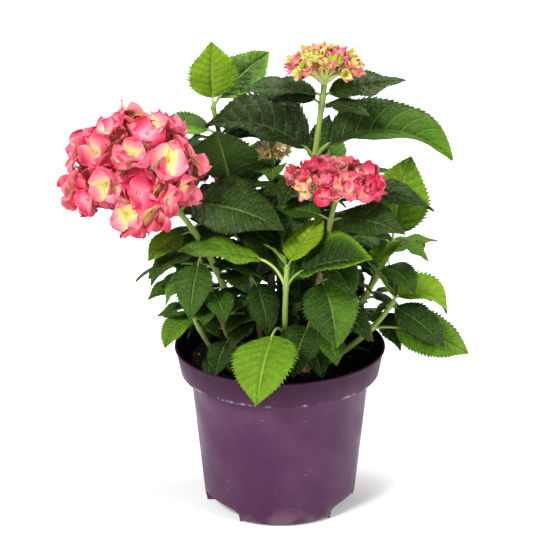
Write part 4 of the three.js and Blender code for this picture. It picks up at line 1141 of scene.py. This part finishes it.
# side veins, the midrib and the fine net between them
slant = times(tree, maths(tree, "POWER", across, 1.2), VEINS["forward"])
phase = times(tree, maths(tree, "SUBTRACT", stored(tree, "along"), slant), VEINS["pairs"])
phase = maths(tree, "FRACT", plus(tree, phase, 20.0))
side_vein = stretch(tree, maths(tree, "ABSOLUTE", maths(tree, "SUBTRACT", phase, 0.5)), 0.42, 0.485)
side_vein = times(tree, side_vein, stretch(tree, across, 1.0, 0.55, 0.35, 1.0))
rib = stretch(tree, across, 0.075, 0.02)
cells = {"kind": "ShaderNodeTexVoronoi", "feature": "DISTANCE_TO_EDGE"}
net = stretch(tree, grain(tree, LEAF_GRAIN["net"], **cells), 0.12, 0.0)
pucker = stretch(tree, grain(tree, LEAF_GRAIN["puckers"], **cells), 0.02, 0.36)
veins = maths(tree, "MAXIMUM", maths(tree, "MAXIMUM", side_vein, rib), times(tree, net, 0.28))
# painted shade: the green is painted darker down in the hollows; it is paler on the veins
blotch = times(tree, maths(tree, "SUBTRACT", grain(tree, LEAF_GRAIN["blotches"], 5.0, 0.65), 0.5), 0.42)
youth = plus(tree, stored(tree, "youth"), blotch)
tone = ramped(tree, youth, GREEN)
pale = ramped(tree, plus(tree, youth, 0.31), GREEN)
hollow_shade = maths(tree, "SUBTRACT", 1.0, stretch(tree, stored(tree, "crest"), 0.0, 0.9))
pucker_shade = maths(tree, "SUBTRACT", 1.0, pucker)
for low, share, darker in ((hollow_shade, 0.6, 0.24), (pucker_shade, 0.5, 0.18)):
    dark = ramped(tree, maths(tree, "SUBTRACT", youth, darker), GREEN)
    tone = blend(tree, times(tree, low, share), tone, dark)
tone = blend(tree, times(tree, veins, 0.75), tone, blend(tree, 0.3, pale, VEIN))
# the greyish bloom, partly real and partly a painted sheen where the crests catch the light, lies on the
# puckers and is rubbed off in places
kept = stretch(tree, grain(tree, LEAF_GRAIN["rubbed"], 4.0, 0.7), 0.35, 0.65, 0.25, 1.0)
dust_and_sheen = times(tree, stored(tree, "dust_and_sheen"), kept)
dust_and_sheen = times(tree, dust_and_sheen, times(tree, plus(tree, pucker, 0.12), 1.25))
tone = blend(tree, dust_and_sheen, tone, BLOOM_AND_SHEEN_GREY)
under = stored(tree, "under")
tone = blend(tree, times(tree, under, 0.55), tone, blend(tree, 0.45, UNDER, pale))
height = plus(tree, times(tree, veins, -1.0), times(tree, pucker, 1.3))
gloss = stretch(tree, grain(tree, LEAF_GRAIN["gloss"], 3.0), 0.3, 0.7, 0.28, 0.42)
gloss = plus(tree, gloss, times(tree, under, 0.22))
finish_with(tree, shader, Base_Color=tone, Roughness=gloss, Normal=bumped(tree, height, 0.0011, 0.9))

# inner and ruled leaves are the younger the higher up they grow
tint = np.random.default_rng(61)
for grown in leaves:
    step = tint.uniform(-1, 1, 3)
    if grown["tone"] == "inner":
        young = 0.10 + 0.26 * grown["at"] + 0.08 * step[0]
        grown["tones"] = (young, young + 0.05, 0.10 + 0.08 * step[2])
    elif grown["tone"] in TONES:
        grown["tones"] = tuple(np.array(TONES[grown["tone"]]) + 0.03 * step)
    else:
        young = 0.10 + 0.34 * grown["at"] + 0.09 * step[0]
        grown["tones"] = (young, young + 0.08 + 0.06 * step[1], 0.16 + 0.14 * step[2])

GROUPS = {
    "foliage_left": ("left", "left_side", "left_low", "front_inner"),
    "foliage_top": ("top", "back_left", "dried"),
    "foliage_right": ("middle", "front", "right_low", "right_tall"),
    "foliage_back": ("back", "back_right", "back_low", "back_left_low", "back_right_low"),
}
for name, names in GROUPS.items():
    own = [blade_skin(grown, n) for n, grown in enumerate(leaves) if grown["shoot"]["name"] in names]
    made = join_skins(name, own, foliage)
    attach(made, "root")
    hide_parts(*[f"leaves_{shoot_name}" for shoot_name in names])

# ------------------------------------------------------------ leaf stalks
# Each leaf's stalk leaves a joint of its stem, thick and pale green, and runs on under the
# blade as its midrib, thinning out towards the tip.

FLESH = [(0.12, (0.19, 0.32, 0.06, 1)), (0.62, (0.46, 0.55, 0.14, 1)), (0.95, (0.70, 0.73, 0.26, 1))]
# shares of the way along the leaf, below 0 on the stalk, and how thick the stalk is there
WAY = [-1.06, -0.9, -0.5, 0, 0.9]
THINNING = [1.25, 1.0, 0.8, 0.72, 0.12]

flesh, tree, shader = new_material("stalk flesh")
streak = grain(tree, 240.0, 4.0, 0.6)
ripeness = plus(tree, stored(tree, "youth"), times(tree, maths(tree, "SUBTRACT", streak, 0.5), 0.4))
tone = ramped(tree, times(tree, ripeness, 0.6), FLESH)
finish_with(tree, shader, Base_Color=tone, Roughness=stretch(tree, streak, 0.3, 0.7, 0.36, 0.5),
            Normal=bumped(tree, streak, 0.0003))

lines = []
shares = np.concatenate([np.linspace(WAY[0], 0, 10)[:-1], np.linspace(0, WAY[-1], 12)])
for grown in leaves:
    long = grown["sizes"]["long"]
    points, normal = surface(grown, shares, 0 * shares)
    thick = STALK["thick"] * long * np.interp(shares, WAY, THINNING)
    # the midrib lies under the blade's groove
    sunk = np.where(shares > 0, thick * 0.9 + VEINS["groove"] * long * 0.9, 0)
    lines.append({"points": points - normal * sunk[:, None], "radius": thick, "youth": grown["tones"][0]})
stalks = grow_tubes("leaf_stalks", lines, STALK["sides"], flesh)
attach(stalks, "root")

# ------------------------------------------------------------ blooms
# Mopheads: domes of florets on pale branching rays. Each floret has four broad overlapping
# sepals round a small bead. They open cream, flush pink from the rim inwards and turn crimson.

SEPAL = {"count": 4, "wide": 0.66, "thick": 0.028, "bead": 0.045, "kinds": 10}
RAY = {"sides": 6, "tip": 0.42, "youth": 1.5, "stalk_youth": 0.4, "dry_youth": 0.1}
# how far florets stray from their even places, and how deep they sit for their cup
DOME = {"stray": 0.35, "near": 0.93, "farther": 0.14, "least": 0.88, "vary": 0.24, "sunk": 0.6}
PETAL = [(0.0, (0.40, 0.46, 0.045, 1)), (0.12, (0.66, 0.60, 0.13, 1)), (0.24, (0.82, 0.57, 0.25, 1)),
         (0.42, (0.82, 0.28, 0.29, 1)), (0.62, (0.78, 0.125, 0.20, 1)), (0.84, (0.66, 0.030, 0.105, 1)),
         (1.0, (0.46, 0.008, 0.035, 1))]
DRY = [(0.0, (0.30, 0.17, 0.035, 1)), (0.5, (0.64, 0.45, 0.15, 1)), (1.0, (0.88, 0.80, 0.50, 1))]


def floret_shape(kind, cup, spread, rows, columns):
    """Four thin sepals round the Z axis, a unit long, and the bead in their middle."""
    draw = np.random.default_rng(kind)
    points, faces, reach, under = [], [], [], []
    # the rows close up towards the tip, so that it comes out round
    v = 0.05 + 0.95 * np.sin(pi / 2 * np.linspace(0, 1, rows)[:, None])
    u = np.sin(pi / 2 * np.linspace(-1, 1, columns))[None, :]
    for k in range(SEPAL["count"]):
        swing = k * pi / 2 + draw.uniform(-0.16, 0.16)
        long = draw.uniform(0.86, 1.06)
        wide = SEPAL["wide"] * spread * draw.uniform(0.9, 1.12)
        half = wide * np.sin(pi * np.clip(v * 0.992, 0, 1) ** 0.86) ** 0.5
        x = long * (v - 0.12 * u ** 2 * v + 0.03 * np.cos(3 * u * pi) * v ** 3) + 0 * u
        y = half * u
        lift = cup * draw.uniform(0.4, 1.8) * v ** 1.6 + 0.10 * (k % 2) * v
        z = (lift + draw.uniform(0.0, 0.34) * u ** 2 * v - draw.uniform(0.0, 0.34) * v ** 4
             + 0.10 * np.sin(4.2 * u + draw.uniform(0, 6)) * v ** 2
             + draw.uniform(-0.34, 0.34) * u * v)
        top = np.stack([x * cos(swing) - y * sin(swing), x * sin(swing) + y * cos(swing), z], -1)
        high, broad = top.shape[:2]
        faces += (closed_sheet(high, broad, turned=True) + len(points)).tolist()
        points += top.reshape(-1, 3).tolist() + (top - (0, 0, SEPAL["thick"])).reshape(-1, 3).tolist()
        reach += np.tile(np.broadcast_to(v, (high, broad)).ravel(), 2).tolist()
        under += [0.0] * (high * broad) + [1.0] * (high * broad)
    bead, bead_faces = rough_ball(SEPAL["bead"], kind)
    faces += [tuple(i + len(points) for i in face) for face in bead_faces]
    points += (bead + (0, 0, 0.05)).tolist()
    return points, faces, reach + [0.0] * len(bead), under + [0.0] * len(bead)


def apart(one, other):
    """The angle between two directions, in degrees."""
    return degrees(np.arccos(np.dot(one, other) / np.linalg.norm(one) / np.linalg.norm(other)))


def florets_of(bloom, look, count, seed, depth, size, lean):
    """Florets on a bloom's dome, by the golden angle from the top outwards."""
    draw = seeded(seed)
    along, first, second, middle = bloom_frame(bloom)
    found = []
    for i in range(count):
        d1, d2, d3, d4, d5 = (next(draw) for _ in range(5))
        height = 1 - (1 - cos(radians(bloom["wrap"]))) * ((i + 0.5) / count)
        ring = sqrt(1 - height * height)
        angle = pi * (3 - sqrt(5)) * i + DOME["stray"] * (d1 - 0.5)
        out = first * ring * cos(angle) + second * ring * sin(angle)
        reach = (DOME["near"] + DOME["farther"] * d2) * depth
        outward = out + along * height
        gaps = [gap for gap in (bloom.get("gap"), look.get("gap")) if gap]
        if any(apart(outward, toward) < span for toward, span in gaps):
            continue
        spot = middle + out * bloom["across"] * reach + along * bloom["along"] * height * reach
        if "cleft" in look:
            toward, aside, half, start = look["cleft"]
            if abs(np.dot(spot - middle, aside)) < half and np.dot(spot - middle, toward) > start:
                continue
        normal = out * bloom["along"] + along * bloom["across"] * height
        normal = normal / np.linalg.norm(normal) + lean * (d3 - 0.5) * first + lean * (d4 - 0.5) * second
        normal /= np.linalg.norm(normal)
        radius = bloom["floret"] * (DOME["least"] + DOME["vary"] * d2) * size
        found.append({"spot": spot - normal * DOME["sunk"] * look["cup"] * radius, "normal": normal,
                      "spin": pi * d5, "radius": radius})
    return found


def floret_tree():
    """Sets one of the floret kinds on each point, turned to face outwards and sized."""
    tree, given, result = new_tree(
        "florets on a dome", Kinds=("Collection", None), Material=("Material", None))

    def number(name, kind="FLOAT"):
        made = add_node(tree, "GeometryNodeInputNamedAttribute", {"data_type": kind}, Name=name)
        return made.outputs[0]

    kinds = add_node(tree, "GeometryNodeCollectionInfo", Collection=given.outputs["Kinds"],
                     Separate_Children=True, Reset_Children=True)
    facing = add_node(tree, "FunctionNodeAlignRotationToVector", {"axis": "Z"},
                      Vector=number("facing", "FLOAT_VECTOR"))
    spun = add_node(tree, "FunctionNodeAxisAngleToRotation", Axis=(0.0, 0.0, 1.0), Angle=number("spin"))
    turned = add_node(tree, "FunctionNodeRotateRotation", {"rotation_space": "LOCAL"},
                      _0=facing.outputs[0], _1=spun.outputs[0])
    size = add_node(tree, "ShaderNodeCombineXYZ", X=number("size"), Y=number("size"), Z=number("size"))
    placed = add_node(tree, "GeometryNodeInstanceOnPoints", Points=given.outputs["Geometry"],
                      Instance=kinds.outputs[0], Pick_Instance=True, Instance_Index=number("kind", "INT"),
                      Rotation=turned.outputs[0], Scale=size.outputs[0])
    whole = add_node(tree, "GeometryNodeRealizeInstances", Geometry=placed.outputs[0])
    soft = add_node(tree, "GeometryNodeSetShadeSmooth", Geometry=whole.outputs[0], Shade_Smooth=True)
    dressed(tree, given, result, soft.outputs[0])
    return tree


def petal_material(name, stops, back):
    """Sepals that turn from their base to their rim through the stops. Their backs are paler."""
    material, tree, shader = new_material(name, Specular_IOR_Level=0.3)
    mottle = times(tree, maths(tree, "SUBTRACT", grain(tree, 160.0, 4.0, 0.6), 0.5), 0.32)
    outwards = times(tree, stretch(tree, stored(tree, "reach"), 0.0, 0.85), 0.52)
    turn = plus(tree, plus(tree, outwards, times(tree, stored(tree, "flush"), 0.58)), mottle)
    tone = ramped(tree, turn, stops)
    tone = blend(tree, stored(tree, "under"), tone, blend(tree, 0.35, tone, back))
    fine = grain(tree, 500.0, 3.0, 0.6)
    finish_with(tree, shader, Base_Color=tone, Roughness=stretch(tree, fine, 0.3, 0.7, 0.46, 0.62),
                Normal=bumped(tree, fine, 0.0003, 0.6))
    return material


petals = petal_material("sepal skin", PETAL, PETAL[3][1])
dried_petals = petal_material("dry sepal", DRY, DRY[2][1])
# Per bloom: how cupped and broad its sepals are, the florets' size and how far they lean, how
# many more stand between the solids' own and deeper in, the rows and columns of a sepal, how
# flushed the florets are, from and to, and the share of richer ones. A cleft is a slot through
# the dome: its direction, its way across, half its width and where it starts. A gap is as in
# BLOOMS, and ray how thick the rays are at the hub.
BLOOM_LOOKS = {
    "left": {"cup": 0.26, "spread": 1.0, "size": 0.88, "lean": 1.5, "more": 34, "inner": 28, "mesh": (9, 9),
             "flush": (0.0, 0.50), "rich": 0.34, "skin": petals, "slot": "bloom",
             "cleft": ((-0.50, -0.26, -0.83), (0.86, -0.14, -0.48), 17, 32)},
    "top": {"cup": 0.8, "spread": 0.85, "size": 0.74, "lean": 0.7, "more": 56, "inner": 40, "mesh": (6, 6),
            "flush": (-0.95, 0.02), "rich": 0.18, "skin": petals, "slot": "bud_bloom",
            "gap": ((0, -1, -0.15), 36), "ray": 2.0},
    "middle": {"cup": 0.45, "spread": 1.05, "size": 0.84, "lean": 0.8, "more": 18, "inner": 14,
               "mesh": (8, 8), "flush": (-0.34, 0.50), "rich": 0.46, "skin": petals, "slot": "bloom"},
    "dried": {"cup": 0.6, "spread": 0.8, "size": 0.9, "lean": 0.9, "more": 18, "inner": 10, "mesh": (6, 6),
              "flush": (0.0, 1.3), "rich": 0.1, "skin": dried_petals, "slot": "dried_bloom"},
    "back": {"cup": 0.25, "spread": 1.0, "size": 0.95, "lean": 1.0, "more": 18, "inner": 12, "mesh": (8, 8),
             "flush": (0.08, 0.46), "rich": 0.2, "skin": petals, "slot": "bloom"},
}
heads = floret_tree()
ray_lines = []
for name, look in BLOOM_LOOKS.items():
    bloom = BLOOMS[name]
    kinds = bpy.data.collections.new(f"floret kinds {name}")
    bpy.context.scene.collection.children.link(kinds)
    for kind in range(SEPAL["kinds"]):
        points, faces, reach, under = floret_shape(kind + 10, look["cup"], look["spread"], *look["mesh"])
        shape = new_piece(f"floret_{name}_{kind}", points, faces, look["skin"], reach=reach, under=under)
        bpy.context.collection.objects.unlink(shape)
        kinds.objects.link(shape)
    seed, size, lean = bloom["seed"], look["size"], look["lean"]
    florets = florets_of(bloom, look, bloom["florets"], seed, 1.0, size, lean)
    florets += florets_of(bloom, look, look["more"], seed + 40, 0.94, 0.95 * size, lean)
    florets += florets_of(bloom, look, look["inner"], seed + 80, 0.72, 0.95 * size, 0.9)
    draw = np.random.default_rng(seed)
    flush = draw.uniform(*look["flush"], len(florets))
    rich = draw.uniform(0, 1, len(florets)) < look["rich"]
    flush = np.where(rich, np.maximum(flush, look["flush"][1] + 0.25), flush)
    made = new_object(f"bloom_{name}_florets", [f["spot"] * MM for f in florets], [], [], flush=flush,
                      spin=[f["spin"] for f in florets], size=[f["radius"] * MM for f in florets],
                      kind=draw.integers(0, SEPAL["kinds"], len(florets)),
                      facing=[f["normal"] for f in florets])
    run_tree(made, heads, Kinds=kinds, Material=look["skin"])
    for shape in list(kinds.objects):
        bpy.data.objects.remove(shape)
    bpy.data.collections.remove(kinds)
    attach(made, "root")
    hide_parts(f"bloom_{name}")
    # its own stalk goes on from the shoot's tip and branches into the florets' rays
    limb = next(s for s in SHOOTS if s["name"] == name)
    along, _, _, middle = bloom_frame(bloom)
    bend = limb["tip"] + heading(limb, 1.0) * 0.4 * np.linalg.norm(middle - limb["tip"])
    # a dome that wraps far round has its hub inside, a flat one below
    low, arch = (0.95, 0.22) if bloom["wrap"] < 110 else (0.2, -0.044)
    hub = middle - along * bloom["along"] * low
    ray_lines.append({"points": bent(limb["tip"], bend, hub, np.linspace(0, 1, 12)[:, None]),
                      "radius": np.linspace(limb["thick"][1], limb["thick"][1] * 1.1, 12),
                      "youth": RAY["dry_youth"] if name == "dried" else RAY["stalk_youth"]})
    for f in florets:
        foot = f["spot"] - f["normal"] * 0.03 * f["radius"]
        knee = hub + (foot - hub) * 0.5 + along * arch * np.linalg.norm(foot - hub)
        ray_lines.append({"points": bent(hub, knee, foot, np.linspace(0, 1, 7)[:, None]),
                          "radius": np.linspace(look.get("ray", 1.0), RAY["tip"], 7), "youth": RAY["youth"]})
rays = grow_tubes("bloom_rays", ray_lines, RAY["sides"], flesh)
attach(rays, "root")
